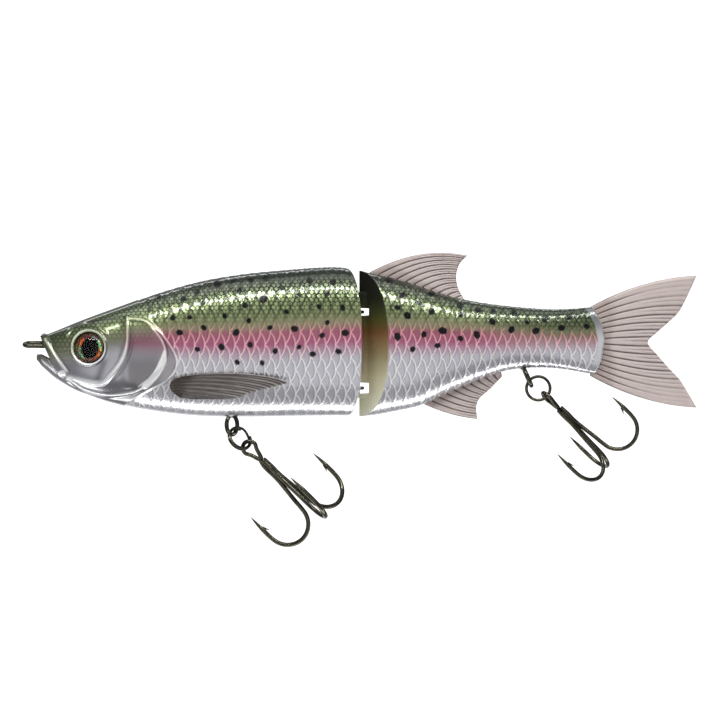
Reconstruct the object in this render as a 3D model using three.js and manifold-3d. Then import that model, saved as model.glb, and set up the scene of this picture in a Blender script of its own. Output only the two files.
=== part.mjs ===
// A two-piece jointed swimbait: a 178 mm trout-shaped hard lure with a V-hinge in the middle,
// soft fins, and two treble hooks that hang on split rings from swivelling hanger eyes.
//
// Millimetres. +X runs from the line tie to the tail, +Z is the back, and -Y is the fish's left side.
// The origin is the centre of the line tie's loop, in the lure's middle plane.
import * as THREE from "three";
import { mergeVertices } from "three/addons/utils/BufferGeometryUtils.js";
import Module from "manifold-3d";

const wasm = await Module();
wasm.setup();

const deg = THREE.MathUtils.degToRad;
const V = (x, y, z) => new THREE.Vector3(x, y, z);
const Y_AXIS = V(0, 1, 0);

// ---------- driving dimensions ----------

// Outlines of the whole body: [x, value] along the lure, shared by both segments.
const TOP_LINE = [
  [1.6, 1.9], [5.4, 3.1], [13.5, 6.4], [24.4, 10.4], [35.2, 14.2], [46, 17.2], [57, 19.1], [68, 20.2],
  [79, 21], [85, 20.9], [92, 19.5], [101, 17.4], [110.5, 14.2], [117, 12.4], [127, 10.8], [140, 9.7],
  [148, 9.9], [153, 10.5], [158, 11.2],
];
const BELLY_LINE = [
  [1.6, -4.3], [3, -5.8], [7, -9.3], [13.5, -12.9], [24.4, -16.4], [35.2, -18.4], [46, -19.5],
  [60, -19.7], [73, -19.5], [84, -19.4], [91, -19.5], [99.4, -18.1], [106, -16.5], [115, -12.4],
  [125.4, -8.3], [130, -7], [137, -6.4], [143.4, -6.7], [153, -8.3], [158, -9.2],
];
const HALF_WIDTH = [
  [1.6, 1.9], [4, 3.3], [8, 5.2], [13.5, 7.1], [20, 8.5], [30, 9.8], [42, 10.5], [57, 10.8], [72, 10.6],
  [85, 10.1], [97, 9.3], [108, 8.1], [118, 6.7], [128, 5.3], [138, 4.3], [147, 3.6], [158, 3],
];
const SQUARENESS = 2.3; // exponent of the superelliptic cross-section

const WALL = 1.8;
const SEAM_GAP = 0.1; // between the left and right half shells
const GAP = 0.3; // between a piece and the pocket that holds it

// The V-hinge between the segments.
const PIN_X = 88.6;
const PIN_RADIUS = 0.55;
const PIN_REACH = { low: -13.7, high: 13.3 };
const KNUCKLE = { radius: 2.3, low: -14.5, high: 14.1 };
const GROOVE = { x: 85.3, slope: 0.459 }; // the front segment ends at x = GROOVE.x + slope * |y|
const WEDGE = { x: 89, slope: 0.853 }; // the rear segment starts at x = WEDGE.x + slope * |y|
const NOTCH_BACK = 91.6; // of the two see-through notches in the wedge
const HINGE_EYES = [
  { name: "upper_hinge_eye", z: 8.8, notch: 1.1 },
  { name: "lower_hinge_eye", z: -11.8, notch: 1.5 },
];
const HINGE_EYE = { loop: 1.35, wire: 0.45, front: 79, post: 0.5 };

const TIE = { loop: 1.8, wire: 0.6, back: 14, post: 0.85, roll: deg(13) };
const EYE = { x: 16.1, z: -0.85, radius: 4, foil: 0.4, dome: 1.5, sink: 1.4, bezel: 4.9 };
const TAIL_HINGE_X = 153;
const TAIL_TAB = 0.7; // half thickness of the tail fin

// Ballast balls: where each sits along the lure, and its height when the belly doesn't set it.
const BALL_GAP = 0.3;
const FRONT_BALLS = { radius: 5.5, places: [[30, -9.6], [42, -11], [68, -11.6]] };
const REAR_BALLS = { radius: 4, places: [[101, -11.3], [112, -5.6]] };

// Hanger eye, split ring and treble hook, the same at both places apart from the hook's size.
const HANGER = { loop: 2.6, wire: 0.6, stem: 0.6, head: 1.05, lip: 1, barrel: 1.75, barrelLength: 3.4 };
const RING = { radius: 3.2, radial: 0.42, axial: 0.31, pitch: 0.7 };
const RIG_GAP = 0.2; // between a link and the link that it hangs on
const HOOK = {
  wire: 0.62, eye: 1.95, eyeWire: 0.5, eyeTop: -1.4, shankTop: 4.4, spread: 0.84,
  bend: 6.2, bendOut: 8.1, bendDown: 21.8, tip: 13.8,
};
const DROOP = deg(44.5); // of both hooks below the horizontal

const COLOURS = {
  chrome: { color: 0xb9b8c2, roughness: 0.22, metalness: 0.75 },
  soft: { color: 0xb5a8a4, roughness: 0.5, metalness: 0 },
  darkSoft: { color: 0x5b524e, roughness: 0.45, metalness: 0 },
  black: { color: 0x2d2f2a, roughness: 0.3, metalness: 0.9 },
  steel: { color: 0x9a968c, roughness: 0.3, metalness: 0.95 },
  brass: { color: 0xa88a45, roughness: 0.35, metalness: 0.95 },
  foil: { color: 0x6a4a38, roughness: 0.3, metalness: 0.7 },
  resin: { color: 0xdfe6e2, roughness: 0.05, metalness: 0 },
};

// Outlines in the X-Z plane, around each fin.
const DORSAL_FIN = [
  [91.4, 16.4], [91.2, 20.3], [99.3, 22.8], [107.9, 24.3], [113.5, 24.8], [118.3, 24.3], [116.3, 22],
  [115.4, 19], [115.7, 15.6], [117.2, 12.6], [117.2, 9.4],
];
const ANAL_FIN = [
  [127.4, -6.4], [127.6, -9], [124.4, -12.1], [121.6, -14.6], [120.7, -17], [121, -20.2], [117.5, -19.9],
  [113.5, -19.1], [105.9, -17.2], [107.4, -13.8],
];
const TAIL_FIN = [
  [149, 6], [153.4, 6], [155.4, 6.4], [154, 10.9], [159.6, 13.7], [167.7, 16.4], [175.9, 18.3],
  [180.5, 18.8], [178.6, 14.8], [175.9, 9.3], [173.2, 6.6], [170.5, 4.2], [167.6, 0.7], [170.5, -3.9],
  [173.2, -6.9], [175.9, -9.6], [178.6, -14.2], [180.5, -17.2], [173.2, -16.4], [167.7, -15],
  [162.3, -13.1], [154, -9.6], [155.3, -5.4], [153.4, -5], [149, -5],
];
const TAIL_END = [
  [80, 40], [151.8, 40], [152.5, 9.3], [154.4, 5.5], [155.2, 1.3], [154.4, -4], [152.5, -8.3], [151.8, -40], [80, -40],
];
const FIN_THICKNESS = 1.3;

// The pectoral fin's upper and lower edges, as [x, z].
const PECTORAL_TOP = [[38.1, -10.4], [40.4, -8.6], [47, -7.8], [53.6, -7.6], [64.8, -8.5], [69.9, -10.3]];
const PECTORAL_FOOT = [[38.1, -11.2], [40.4, -14.2], [45.3, -14.6], [54.4, -14.8], [59.8, -13], [69.9, -10.6]];

// ---------- solids ----------

function solid(geometry) {
  const bare = geometry.clone();
  for (const name of ["normal", "uv"]) bare.deleteAttribute(name);
  const merged = mergeVertices(bare, 1e-4);
  return new wasm.Manifold(
    new wasm.Mesh({
      numProp: 3,
      vertProperties: new Float32Array(merged.attributes.position.array),
      triVerts: new Uint32Array(merged.index.array),
    }),
  );
}

function geometryOf(body) {
  const mesh = body.getMesh();
  const geometry = new THREE.BufferGeometry();
  const places = new Float32Array(mesh.numVert * 3);
  for (let i = 0; i < mesh.numVert; i++) {
    places.set(mesh.vertProperties.subarray(i * mesh.numProp, i * mesh.numProp + 3), i * 3);
  }
  geometry.setAttribute("position", new THREE.BufferAttribute(places, 3));
  geometry.setIndex(new THREE.BufferAttribute(mesh.triVerts, 1));
  geometry.computeVertexNormals();
  return geometry;
}

const unite = (bodies) => bodies.reduce((a, b) => a.add(b));
const cut = (body, cutters) => cutters.reduce((a, b) => a.subtract(b), body);

// Cutting can leave a crumb beside the piece itself.
const withoutCrumbs = (body) => body.decompose().sort((a, b) => b.volume() - a.volume())[0];

function box(low, high) {
  const size = high.clone().sub(low);
  const middle = low.clone().add(high).multiplyScalar(0.5);
  return solid(new THREE.BoxGeometry(size.x, size.y, size.z).translate(middle.x, middle.y, middle.z));
}

// A cylinder from one point to another.
function rod(from, to, radius, sides = 16) {
  const along = to.clone().sub(from);
  const geometry = new THREE.CylinderGeometry(radius, radius, along.length(), sides);
  geometry.applyQuaternion(new THREE.Quaternion().setFromUnitVectors(Y_AXIS, along.clone().normalize()));
  const middle = from.clone().add(to).multiplyScalar(0.5);
  return solid(geometry.translate(middle.x, middle.y, middle.z));
}

// A plate whose outline is a shape in the X-Z plane, centred on y = 0.
function plate(shape, thickness) {
  const geometry = new THREE.ExtrudeGeometry(shape, { depth: thickness, bevelEnabled: false });
  return geometry.rotateX(Math.PI / 2).translate(0, thickness / 2, 0);
}

const outline = (points) => new THREE.Shape(points.map(([x, z]) => new THREE.Vector2(x, z)));

// A prism whose outline is in the X-Y plane, through the body's whole height.
function uprightPrism(points) {
  const height = 60;
  const geometry = new THREE.ExtrudeGeometry(outline(points), { depth: height, bevelEnabled: false });
  return solid(geometry.translate(0, 0, -height / 2));
}

// A skin over rings of points that all have the same number of points, with flat ends.
function skin(rings, closed = false) {
  const count = rings[0].length;
  const places = rings.flat().flatMap((p) => [p.x, p.y, p.z]);
  const faces = [];
  const last = closed ? rings.length : rings.length - 1;
  for (let i = 0; i < last; i++) {
    const next = (i + 1) % rings.length;
    for (let k = 0; k < count; k++) {
      const a = i * count + k;
      const b = i * count + ((k + 1) % count);
      const c = next * count + k;
      const d = next * count + ((k + 1) % count);
      faces.push(a, b, c, b, d, c);
    }
  }
  if (!closed) {
    const end = (rings.length - 1) * count;
    for (let k = 1; k < count - 1; k++) {
      faces.push(0, k + 1, k);
      faces.push(end, end + k, end + k + 1);
    }
  }
  const geometry = new THREE.BufferGeometry();
  geometry.setAttribute("position", new THREE.Float32BufferAttribute(places, 3));
  geometry.setIndex(faces);
  const made = solid(geometry);
  return made.volume() < 0 ? solid(turned(geometry)) : made;
}

function turned(geometry) {
  const faces = geometry.index.array;
  for (let i = 0; i < faces.length; i += 3) [faces[i], faces[i + 1]] = [faces[i + 1], faces[i]];
  return geometry;
}

// Round wire along a curve. radiusAt gives the wire's radius from the start (0) to the end (1).
function wire(curve, radiusAt, steps, sides = 8, closed = false) {
  const frames = curve.computeFrenetFrames(steps, closed);
  const rings = [];
  for (let i = 0; i < (closed ? steps : steps + 1); i++) {
    const centre = curve.getPointAt(i / steps);
    const radius = typeof radiusAt === "function" ? radiusAt(i / steps) : radiusAt;
    const ring = [];
    for (let k = 0; k < sides; k++) {
      const angle = (k / sides) * 2 * Math.PI;
      ring.push(
        centre
          .clone()
          .addScaledVector(frames.normals[i], radius * Math.cos(angle))
          .addScaledVector(frames.binormals[i], radius * Math.sin(angle)),
      );
    }
    rings.push(ring);
  }
  return skin(rings, closed);
}

const through = (points, closed = false) => new THREE.CatmullRomCurve3(points, closed, "centripetal");

// ---------- the fish's form ----------

// A smooth curve through [x, value] points: cubic pieces whose slopes come from their neighbours.
function lineThrough(points) {
  const slope = (i) => {
    const before = points[Math.max(i - 1, 0)];
    const after = points[Math.min(i + 1, points.length - 1)];
    return (after[1] - before[1]) / (after[0] - before[0]);
  };
  return (x) => {
    const next = points.findIndex((p) => p[0] > x);
    const i = next < 0 ? points.length - 2 : Math.max(next - 1, 0);
    const [x0, y0] = points[i];
    const [x1, y1] = points[i + 1];
    const span = x1 - x0;
    const t = THREE.MathUtils.clamp((x - x0) / span, 0, 1);
    const s = 1 - t;
    const rise = span * (slope(i) * s * s * t - slope(i + 1) * t * t * s);
    return y0 * s * s * (1 + 2 * t) + y1 * t * t * (3 - 2 * t) + rise;
  };
}

const topAt = lineThrough(TOP_LINE);
const bellyAt = lineThrough(BELLY_LINE);
const widthAt = lineThrough(HALF_WIDTH);

// Distance from the middle plane to the flank at (x, z).
function flankAt(x, z) {
  const middle = (topAt(x) + bellyAt(x)) / 2;
  const reach = (topAt(x) - bellyAt(x)) / 2;
  const share = Math.min(Math.abs((z - middle) / reach), 1);
  return widthAt(x) * Math.pow(1 - Math.pow(share, SQUARENESS), 1 / SQUARENESS);
}

function section(x, offset, count) {
  const middle = (topAt(x) + bellyAt(x)) / 2;
  const reach = (topAt(x) - bellyAt(x)) / 2 + offset;
  const width = widthAt(x) + offset;
  const bent = (value) => Math.sign(value) * Math.pow(Math.abs(value), 2 / SQUARENESS);
  const ring = [];
  for (let k = 0; k < count; k++) {
    const angle = ((k + 0.5) / count) * 2 * Math.PI;
    ring.push(V(x, width * bent(Math.sin(angle)), middle + reach * bent(Math.cos(angle))));
  }
  return ring;
}

// The body's form between two places, moved out by offset (or in, if it is negative).
function form(from, to, offset, stations, count) {
  const rings = [];
  for (let i = 0; i <= stations; i++) {
    rings.push(section(THREE.MathUtils.lerp(from, to, i / stations), offset, count));
  }
  return skin(rings);
}

// Everything on one side of the seam.
function sideBlock(side) {
  const edge = (side * SEAM_GAP) / 2;
  const far = side * 30;
  return box(V(-5, Math.min(edge, far), -45), V(190, Math.max(edge, far), 45));
}

// The region behind x = apex + slope * |y|.
function behindVee({ x, slope }) {
  const far = 20;
  return uprightPrism([[x, 0], [x + slope * far, far], [200, far], [200, -far], [x + slope * far, -far]]);
}

// ---------- wire loops that are moulded round a post ----------

function stadium(frontX, backX, radius) {
  const points = [];
  for (const [centre, start] of [[frontX, 90], [backX, 270]]) {
    for (let step = 0; step <= 4; step++) {
      const angle = deg(start + step * 45);
      points.push(V(centre + radius * Math.cos(angle), radius * Math.sin(angle), 0));
    }
  }
  return points;
}

function wireLoop(frontX, backX, radius, wireRadius, place) {
  const points = stadium(frontX, backX, radius).map((p) => p.applyMatrix4(place));
  return wire(through(points, true), wireRadius, 22, 6, true);
}

// The room for such a loop, with a post left standing in its far end.
function loopPocket(frontX, backX, postX, reach, height, post, place) {
  const room = new THREE.BoxGeometry(backX - frontX, 2 * reach, 2 * height);
  room.translate((frontX + backX) / 2, 0, 0);
  const pillar = new THREE.CylinderGeometry(post, post, 2 * height + 1, 12);
  pillar.rotateX(Math.PI / 2).translate(postX, 0, 0);
  return solid(room.applyMatrix4(place)).subtract(solid(pillar.applyMatrix4(place)));
}

const tiePlace = new THREE.Matrix4().makeRotationX(TIE.roll);
const tieReach = TIE.loop + TIE.wire + GAP;
const lineTie = () => wireLoop(0, TIE.back - TIE.loop, TIE.loop, TIE.wire, tiePlace);
function tiePocket() {
  const height = TIE.wire + GAP;
  return loopPocket(-4, TIE.back + height, TIE.back - TIE.loop, tieReach, height, TIE.post, tiePlace);
}

const atHeight = (z) => new THREE.Matrix4().makeTranslation(0, 0, z);
const hingeEye = ({ z }) => wireLoop(HINGE_EYE.front, PIN_X, HINGE_EYE.loop, HINGE_EYE.wire, atHeight(z));
function hingeEyePocket({ z }) {
  const reach = HINGE_EYE.loop + HINGE_EYE.wire + GAP;
  const height = HINGE_EYE.wire + GAP;
  const front = HINGE_EYE.front;
  return loopPocket(front - reach, PIN_X, front, reach, height, HINGE_EYE.post, atHeight(z));
}

// ---------- hanger eyes, split rings and hooks ----------

// How one hook hangs. down is the swivel's axis, ringNormal the split ring's axis, and lead the
// direction from the hanger's wire to the ring's centre. roll turns the hook about its own shank.
function rigging({ loopCentre, down, ringNormal, lead, roll, size, recess }) {
  const slide = Math.asin(-ringNormal.dot(down));
  const side = ringNormal.clone().addScaledVector(down, -ringNormal.dot(down)).normalize();
  const hangPoint = loopCentre
    .clone()
    .addScaledVector(side, HANGER.loop * Math.sin(slide))
    .addScaledVector(down, HANGER.loop * Math.cos(slide));
  const ringInside = RING.radius - RING.radial;
  const ringCentre = hangPoint.clone().addScaledVector(lead, ringInside - HANGER.wire - RIG_GAP);
  const shank = V(Math.cos(DROOP), 0, -Math.sin(DROOP));
  const hookPoint = ringCentre.clone().addScaledVector(shank, RING.radius);
  const forward = V(-Math.sin(DROOP), 0, -Math.cos(DROOP));
  const eyeSide = forward.clone().multiplyScalar(Math.cos(roll)).addScaledVector(Y_AXIS, Math.sin(roll));
  const across = new THREE.Vector3().crossVectors(shank, eyeSide).normalize();
  const hanger = { loopCentre, down, side, hangPoint, recess };
  return { ...hanger, ringNormal, ringCentre, shank, hookPoint, eyeSide, across, size };
}

const BELLY_RING_TILT = deg(45);
const bellyRig = rigging({
  loopCentre: V(54.5, 0, -21.8),
  down: V(0, 0, -1),
  ringNormal: V(
    Math.sin(BELLY_RING_TILT) * Math.sin(DROOP),
    -Math.cos(BELLY_RING_TILT),
    Math.sin(BELLY_RING_TILT) * Math.cos(DROOP),
  ),
  lead: V(Math.cos(DROOP), 0, -Math.sin(DROOP)),
  roll: deg(20),
  size: 1,
  recess: 2.75,
});

const TAIL_LEAN = deg(24); // of the tail swivel's axis, so that its foot points aft
const TAIL_LEAD = deg(21); // of the tail split ring below the horizontal
const tailRig = rigging({
  loopCentre: V(134.6, 0, -8.8),
  down: V(Math.sin(TAIL_LEAN), 0, -Math.cos(TAIL_LEAN)),
  ringNormal: V(0, -1, 0),
  lead: V(Math.cos(TAIL_LEAD), 0, -Math.sin(TAIL_LEAD)),
  roll: deg(76),
  size: 0.9,
  recess: 3,
});

// A place on the swivel's axis, this far above the loop's centre.
const onAxis = (rig, distance) => rig.loopCentre.clone().addScaledVector(rig.down, -distance);
const BARREL_FOOT = HANGER.loop + HANGER.wire + 0.6;
const HEAD_FOOT = BARREL_FOOT + HANGER.lip + GAP;
const HEAD_TOP = HEAD_FOOT + 1.2;

function hangerEye(rig) {
  const points = [];
  for (let i = 0; i < 16; i++) {
    const angle = (i / 16) * 2 * Math.PI;
    points.push(
      rig.loopCentre
        .clone()
        .addScaledVector(rig.side, HANGER.loop * Math.sin(angle))
        .addScaledVector(rig.down, HANGER.loop * Math.cos(angle)),
    );
  }
  const loop = wire(through(points, true), HANGER.wire, 20, 7, true);
  const stem = rod(onAxis(rig, HANGER.loop), onAxis(rig, HEAD_TOP), HANGER.stem, 10);
  const head = rod(onAxis(rig, HEAD_FOOT), onAxis(rig, HEAD_TOP), HANGER.head, 12);
  return unite([loop, stem, head]);
}

// A socket with a lip at its foot that keeps the stem's head in.
function hangerBarrel(rig) {
  const inside = HANGER.head + GAP;
  const lip = HANGER.stem + GAP;
  const profile = [
    [lip, 0], [HANGER.barrel, 0], [HANGER.barrel, HANGER.barrelLength], [inside, HANGER.barrelLength],
    [inside, HANGER.lip], [lip, HANGER.lip], [lip, 0],
  ].map(([r, y]) => new THREE.Vector2(r, y));
  const geometry = new THREE.LatheGeometry(profile, 16);
  const up = rig.down.clone().negate();
  geometry.applyQuaternion(new THREE.Quaternion().setFromUnitVectors(Y_AXIS, up));
  const foot = onAxis(rig, BARREL_FOOT);
  return solid(geometry.translate(foot.x, foot.y, foot.z));
}

// The plastic round a barrel, and the room in it for the barrel, the stem and the loop.
const barrelBoss = (rig) =>
  rod(onAxis(rig, 0), onAxis(rig, BARREL_FOOT + HANGER.barrelLength + 1.6), HANGER.barrel + 1.4);
function barrelPocket(rig) {
  const pocket = rod(
    onAxis(rig, BARREL_FOOT - GAP),
    onAxis(rig, BARREL_FOOT + HANGER.barrelLength + GAP),
    HANGER.barrel + GAP,
  );
  const stemHole = rod(onAxis(rig, 0), onAxis(rig, BARREL_FOOT + 1), HANGER.stem + GAP, 12);
  const mouth = rod(onAxis(rig, -2), onAxis(rig, HANGER.loop + HANGER.wire + GAP), rig.recess);
  return unite([pocket, stemHole, mouth]);
}

// Two flat coils of wire, joined by one step over, clear of both cut ends.
function splitRing(rig) {
  const out = rig.shank.clone();
  const across = new THREE.Vector3().crossVectors(rig.ringNormal, out).normalize();
  const stepHalf = deg(30);
  const steps = 30;
  const rings = [];
  for (let i = 0; i <= steps; i++) {
    const angle = THREE.MathUtils.lerp(stepHalf, 4 * Math.PI - stepHalf, i / steps);
    const share = THREE.MathUtils.smoothstep(angle, 2 * Math.PI - stepHalf, 2 * Math.PI + stepHalf);
    const turn = angle + Math.PI / 2;
    const outward = out.clone().multiplyScalar(Math.cos(turn)).addScaledVector(across, Math.sin(turn));
    const point = rig.ringCentre
      .clone()
      .addScaledVector(outward, RING.radius)
      .addScaledVector(rig.ringNormal, RING.pitch * (share - 0.5));
    rings.push(chamferedWire(point, outward, rig.ringNormal));
  }
  return skin(rings);
}

function chamferedWire(point, outward, axis) {
  const corner = 0.55;
  const profile = [
    [1, corner], [corner, 1], [-corner, 1], [-1, corner],
    [-1, -corner], [-corner, -1], [corner, -1], [1, -corner],
  ];
  return profile.map(([a, b]) =>
    point.clone().addScaledVector(outward, a * RING.radial).addScaledVector(axis, b * RING.axial),
  );
}

// A point of a hook: out from the shank's axis at an azimuth, and down the shank.
function hookPlace(rig, azimuth, outward, downward) {
  return rig.hookPoint
    .clone()
    .addScaledVector(rig.eyeSide, outward * Math.cos(azimuth))
    .addScaledVector(rig.across, outward * Math.sin(azimuth))
    .addScaledVector(rig.shank, downward);
}

// One bend with its shank, as [outward, downward] pairs for a hook of size 1.
function bendLine(start) {
  const line = [...start, [1.6, 18.6]];
  for (let angle = 180; angle <= 360; angle += 22.5) {
    const outward = HOOK.bendOut + HOOK.bend * Math.cos(deg(angle));
    line.push([outward, HOOK.bendDown - HOOK.bend * Math.sin(deg(angle))]);
  }
  const edge = HOOK.bendOut + HOOK.bend;
  line.push([edge + 0.05, 18.5], [edge, 16], [edge - 0.15, HOOK.tip]);
  return line;
}

const needle = (full) => (t) => full * (1 - 0.85 * THREE.MathUtils.smoothstep(t, 0.84, 1));

function hookBend(rig, azimuth, start) {
  const points = bendLine(start).map(([o, d]) => hookPlace(rig, azimuth, o * rig.size, d * rig.size));
  return wire(through(points), needle(HOOK.wire * rig.size), 24, 6);
}

// The hook that carries the eye. Its bend lies in the eye's plane. The eye fits the same ring on
// both sizes of hook, so it isn't scaled.
function eyedHook(rig) {
  const shank = hookBend(rig, 0, [[0.1, HOOK.shankTop], [HOOK.spread, 7], [HOOK.spread, 12]]);
  const middle = HOOK.eyeTop + HOOK.eye;
  const foot = HOOK.shankTop * rig.size;
  const eye = [];
  for (let angle = -100; angle <= 100; angle += 25) {
    eye.push([HOOK.eye * Math.sin(deg(angle)), middle - HOOK.eye * Math.cos(deg(angle))]);
  }
  eye.push([1.2, middle + 1.6], [0.45, foot], [0, foot + 0.35], [-0.45, foot], [-1.2, middle + 1.6]);
  const loop = wire(through(eye.map(([o, d]) => hookPlace(rig, 0, o, d)), true), HOOK.eyeWire, 22, 6, true);
  return shank.add(loop);
}

// The pair of hooks brazed beside it.
function twinHooks(rig) {
  const azimuths = [120, 240].map(deg);
  const hooks = azimuths.map((azimuth) => hookBend(rig, azimuth, [[HOOK.spread, 6.6], [HOOK.spread, 12]]));
  const braze = [7.4, 11].map((downward) => {
    const [from, to] = azimuths.map((azimuth) =>
      hookPlace(rig, azimuth, HOOK.spread * rig.size, downward * rig.size),
    );
    return rod(from, to, 0.25, 6);
  });
  return unite([...hooks, ...braze]);
}

// ---------- eyes ----------

// A place on one flank and the direction straight out of it.
function flankFrame(x, z, side) {
  const step = 0.5;
  const dx = (flankAt(x + step, z) - flankAt(x - step, z)) / (2 * step);
  const dz = (flankAt(x, z + step) - flankAt(x, z - step)) / (2 * step);
  return { place: V(x, side * flankAt(x, z), z), out: V(-dx, side, -dz).normalize() };
}

// A round bar along the eye's axis, between two depths (positive is outwards).
function eyeRod(side, from, to, radius) {
  const { place, out } = flankFrame(EYE.x, EYE.z, side);
  return rod(place.clone().addScaledVector(out, from), place.clone().addScaledVector(out, to), radius, 20);
}

const eyeDisc = (side) => eyeRod(side, -EYE.sink, -EYE.sink + EYE.foil, EYE.radius);

function eyeLens(side) {
  const { place, out } = flankFrame(EYE.x, EYE.z, side);
  const foot = -EYE.sink + EYE.foil + 0.1;
  const profile = [new THREE.Vector2(0, 0), new THREE.Vector2(EYE.radius, 0)];
  for (let angle = 0; angle <= 90; angle += 30) {
    const height = 0.7 + EYE.dome * Math.sin(deg(angle));
    profile.push(new THREE.Vector2(EYE.radius * Math.cos(deg(angle)), height));
  }
  const geometry = new THREE.LatheGeometry(profile, 20);
  geometry.applyQuaternion(new THREE.Quaternion().setFromUnitVectors(Y_AXIS, out));
  const centre = place.clone().addScaledVector(out, foot);
  return solid(geometry.translate(centre.x, centre.y, centre.z));
}

// ---------- fins ----------

// An outline moved outwards by a distance, corner by corner.
function grown(points, by) {
  const shape = outline(points);
  const turn = THREE.ShapeUtils.isClockWise(shape.getPoints()) ? 1 : -1;
  return points.map((point, i) => {
    const here = new THREE.Vector2(...point);
    const before = new THREE.Vector2(...points.at(i - 1));
    const after = new THREE.Vector2(...points[(i + 1) % points.length]);
    const edgeIn = here.clone().sub(before).normalize();
    const edgeOut = after.clone().sub(here).normalize();
    const bisector = edgeIn.clone().add(edgeOut).normalize();
    const reach = by / Math.max(Math.cos(edgeIn.angleTo(edgeOut) / 2), 0.5);
    return [here.x - bisector.y * reach * turn, here.y + bisector.x * reach * turn];
  });
}

const finPlate = (points, thickness) => solid(plate(outline(points), thickness));
const finSlot = (points) => finPlate(grown(points, GAP), FIN_THICKNESS + 2 * GAP);

// The slot in the tail, wider at both ends so that the tail fin can bend.
function tailSlot() {
  const room = TAIL_TAB + GAP;
  const waist = TAIL_HINGE_X;
  const prism = uprightPrism([
    [148, 2.5], [waist, room], [158, 2.6], [158, -2.6], [waist, -room], [148, -2.5],
  ]);
  return prism.intersect(box(V(140, -10, -6), V(170, 10, 7)));
}

// The pectoral fin stands a little off the flank, further at its tip, and a tab roots it in the shell.
const PECTORAL = { rootLift: 0.35, tipLift: 2.2, tab: { x: [39.6, 43.6], z: [-13, -10] }, tabDepth: 1.1 };

function pectoralFin(side) {
  const topEdge = lineThrough(PECTORAL_TOP);
  const footEdge = lineThrough(PECTORAL_FOOT);
  const [start, end] = [PECTORAL_TOP[0][0], PECTORAL_TOP.at(-1)[0]];
  const rings = [];
  for (let i = 0; i <= 10; i++) {
    const share = i / 10;
    const x = THREE.MathUtils.lerp(start, end, share);
    const lift = THREE.MathUtils.lerp(PECTORAL.rootLift, PECTORAL.tipLift, share);
    const thickness = THREE.MathUtils.lerp(1.3, 0.5, share);
    const place = (across, rise) => {
      const z = THREE.MathUtils.lerp(footEdge(x), topEdge(x), across);
      return V(x, side * (flankAt(x, z) + lift + rise * thickness), z);
    };
    rings.push([place(0, 0), place(0.25, 0), place(0.5, 0), place(0.75, 0), place(1, 0),
      place(0.9, 1), place(0.5, 1.2), place(0.1, 1)]);
  }
  return skin(rings).add(pectoralTab(side, 0));
}

function pectoralTab(side, gap) {
  const { tab, tabDepth } = PECTORAL;
  const flank = flankAt(tab.x[0], tab.z[1]);
  const near = side * (flank - tabDepth - 0.6 - gap);
  const far = side * (flank + 0.9 + 3 * gap);
  return box(
    V(tab.x[0] - gap, Math.min(near, far), tab.z[0] - gap),
    V(tab.x[1] + gap, Math.max(near, far), tab.z[1] + gap),
  );
}

// ---------- ballast ----------

const ball = (radius, [x, z], segments = 12) =>
  solid(new THREE.SphereGeometry(radius, segments, segments / 2).translate(x, 0, z));

// A block of plastic from the belly to above the ball's middle, so that the ball can't lift out.
function cradle(radius, [x, z]) {
  const half = radius + 1.4;
  return box(V(x - half, -half, z - 16), V(x + half, half, z + radius * 0.75));
}

function ballastRoom({ radius, places }) {
  return places.map((place) => ball(radius + BALL_GAP, place));
}

// ---------- shells ----------

const knuckle = (radius) => rod(V(PIN_X, 0, KNUCKLE.low), V(PIN_X, 0, KNUCKLE.high), radius, 20);
const hingePin = () => rod(V(PIN_X, 0, PIN_REACH.low), V(PIN_X, 0, PIN_REACH.high), PIN_RADIUS, 16);
const pinBore = () =>
  rod(V(PIN_X, 0, PIN_REACH.low - GAP), V(PIN_X, 0, PIN_REACH.high + GAP), PIN_RADIUS + GAP, 16);

function frontSegment() {
  const bezels = [-1, 1].map((side) => eyeRod(side, -2, 0.25, EYE.bezel));
  const outside = unite([form(1.6, 92, 0, 16, 28), ...bezels]).subtract(behindVee(GROOVE));
  const solidParts = [
    barrelBoss(bellyRig),
    ...FRONT_BALLS.places.map((place) => cradle(FRONT_BALLS.radius, place)),
    ...HINGE_EYES.map(({ z }) => box(V(76, -20, z - 2.2), V(90, 20, z + 2.2))),
    box(V(37.5, -14, -15), V(46, -6, -8)),
    box(V(37.5, 6, -15), V(46, 14, -8)),
  ];
  const hollow = cut(form(23, 83, -WALL, 7, 20), solidParts);
  const sockets = [-1, 1].map((side) => eyeRod(side, -EYE.sink - 0.1, 4, EYE.radius + GAP));
  const rooms = [
    ...ballastRoom(FRONT_BALLS),
    barrelPocket(bellyRig),
    tiePocket(),
    ...HINGE_EYES.map(hingeEyePocket),
    ...[-1, 1].map((side) => pectoralTab(side, GAP)),
  ];
  return cut(outside, [hollow, ...sockets, ...rooms]);
}

function rearSegment() {
  const wedge = form(84, 157, 0, 14, 28).intersect(behindVee(WEDGE));
  const outside = wedge.add(knuckle(KNUCKLE.radius)).intersect(solid(plate(outline(TAIL_END), 60)));
  const cradles = REAR_BALLS.places.map((place) => cradle(REAR_BALLS.radius, place));
  const hollow = cut(form(98, 146, -WALL, 7, 20), [barrelBoss(tailRig), ...cradles]);
  const notches = HINGE_EYES.map(({ z, notch }) =>
    box(V(80, -12, z - notch), V(NOTCH_BACK, 12, z + notch)),
  );
  const rooms = [
    ...notches,
    pinBore(),
    ...ballastRoom(REAR_BALLS),
    barrelPocket(tailRig),
    finSlot(DORSAL_FIN),
    finSlot(ANAL_FIN),
    tailSlot(),
  ];
  return cut(outside, [hollow, ...rooms]);
}

// ---------- assembly ----------

const lure = new THREE.Group();
lure.name = "swimbait";

function add(name, body, finish) {
  const mesh = new THREE.Mesh(geometryOf(body), new THREE.MeshStandardMaterial(COLOURS[finish]));
  mesh.name = name;
  lure.add(mesh);
}

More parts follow.
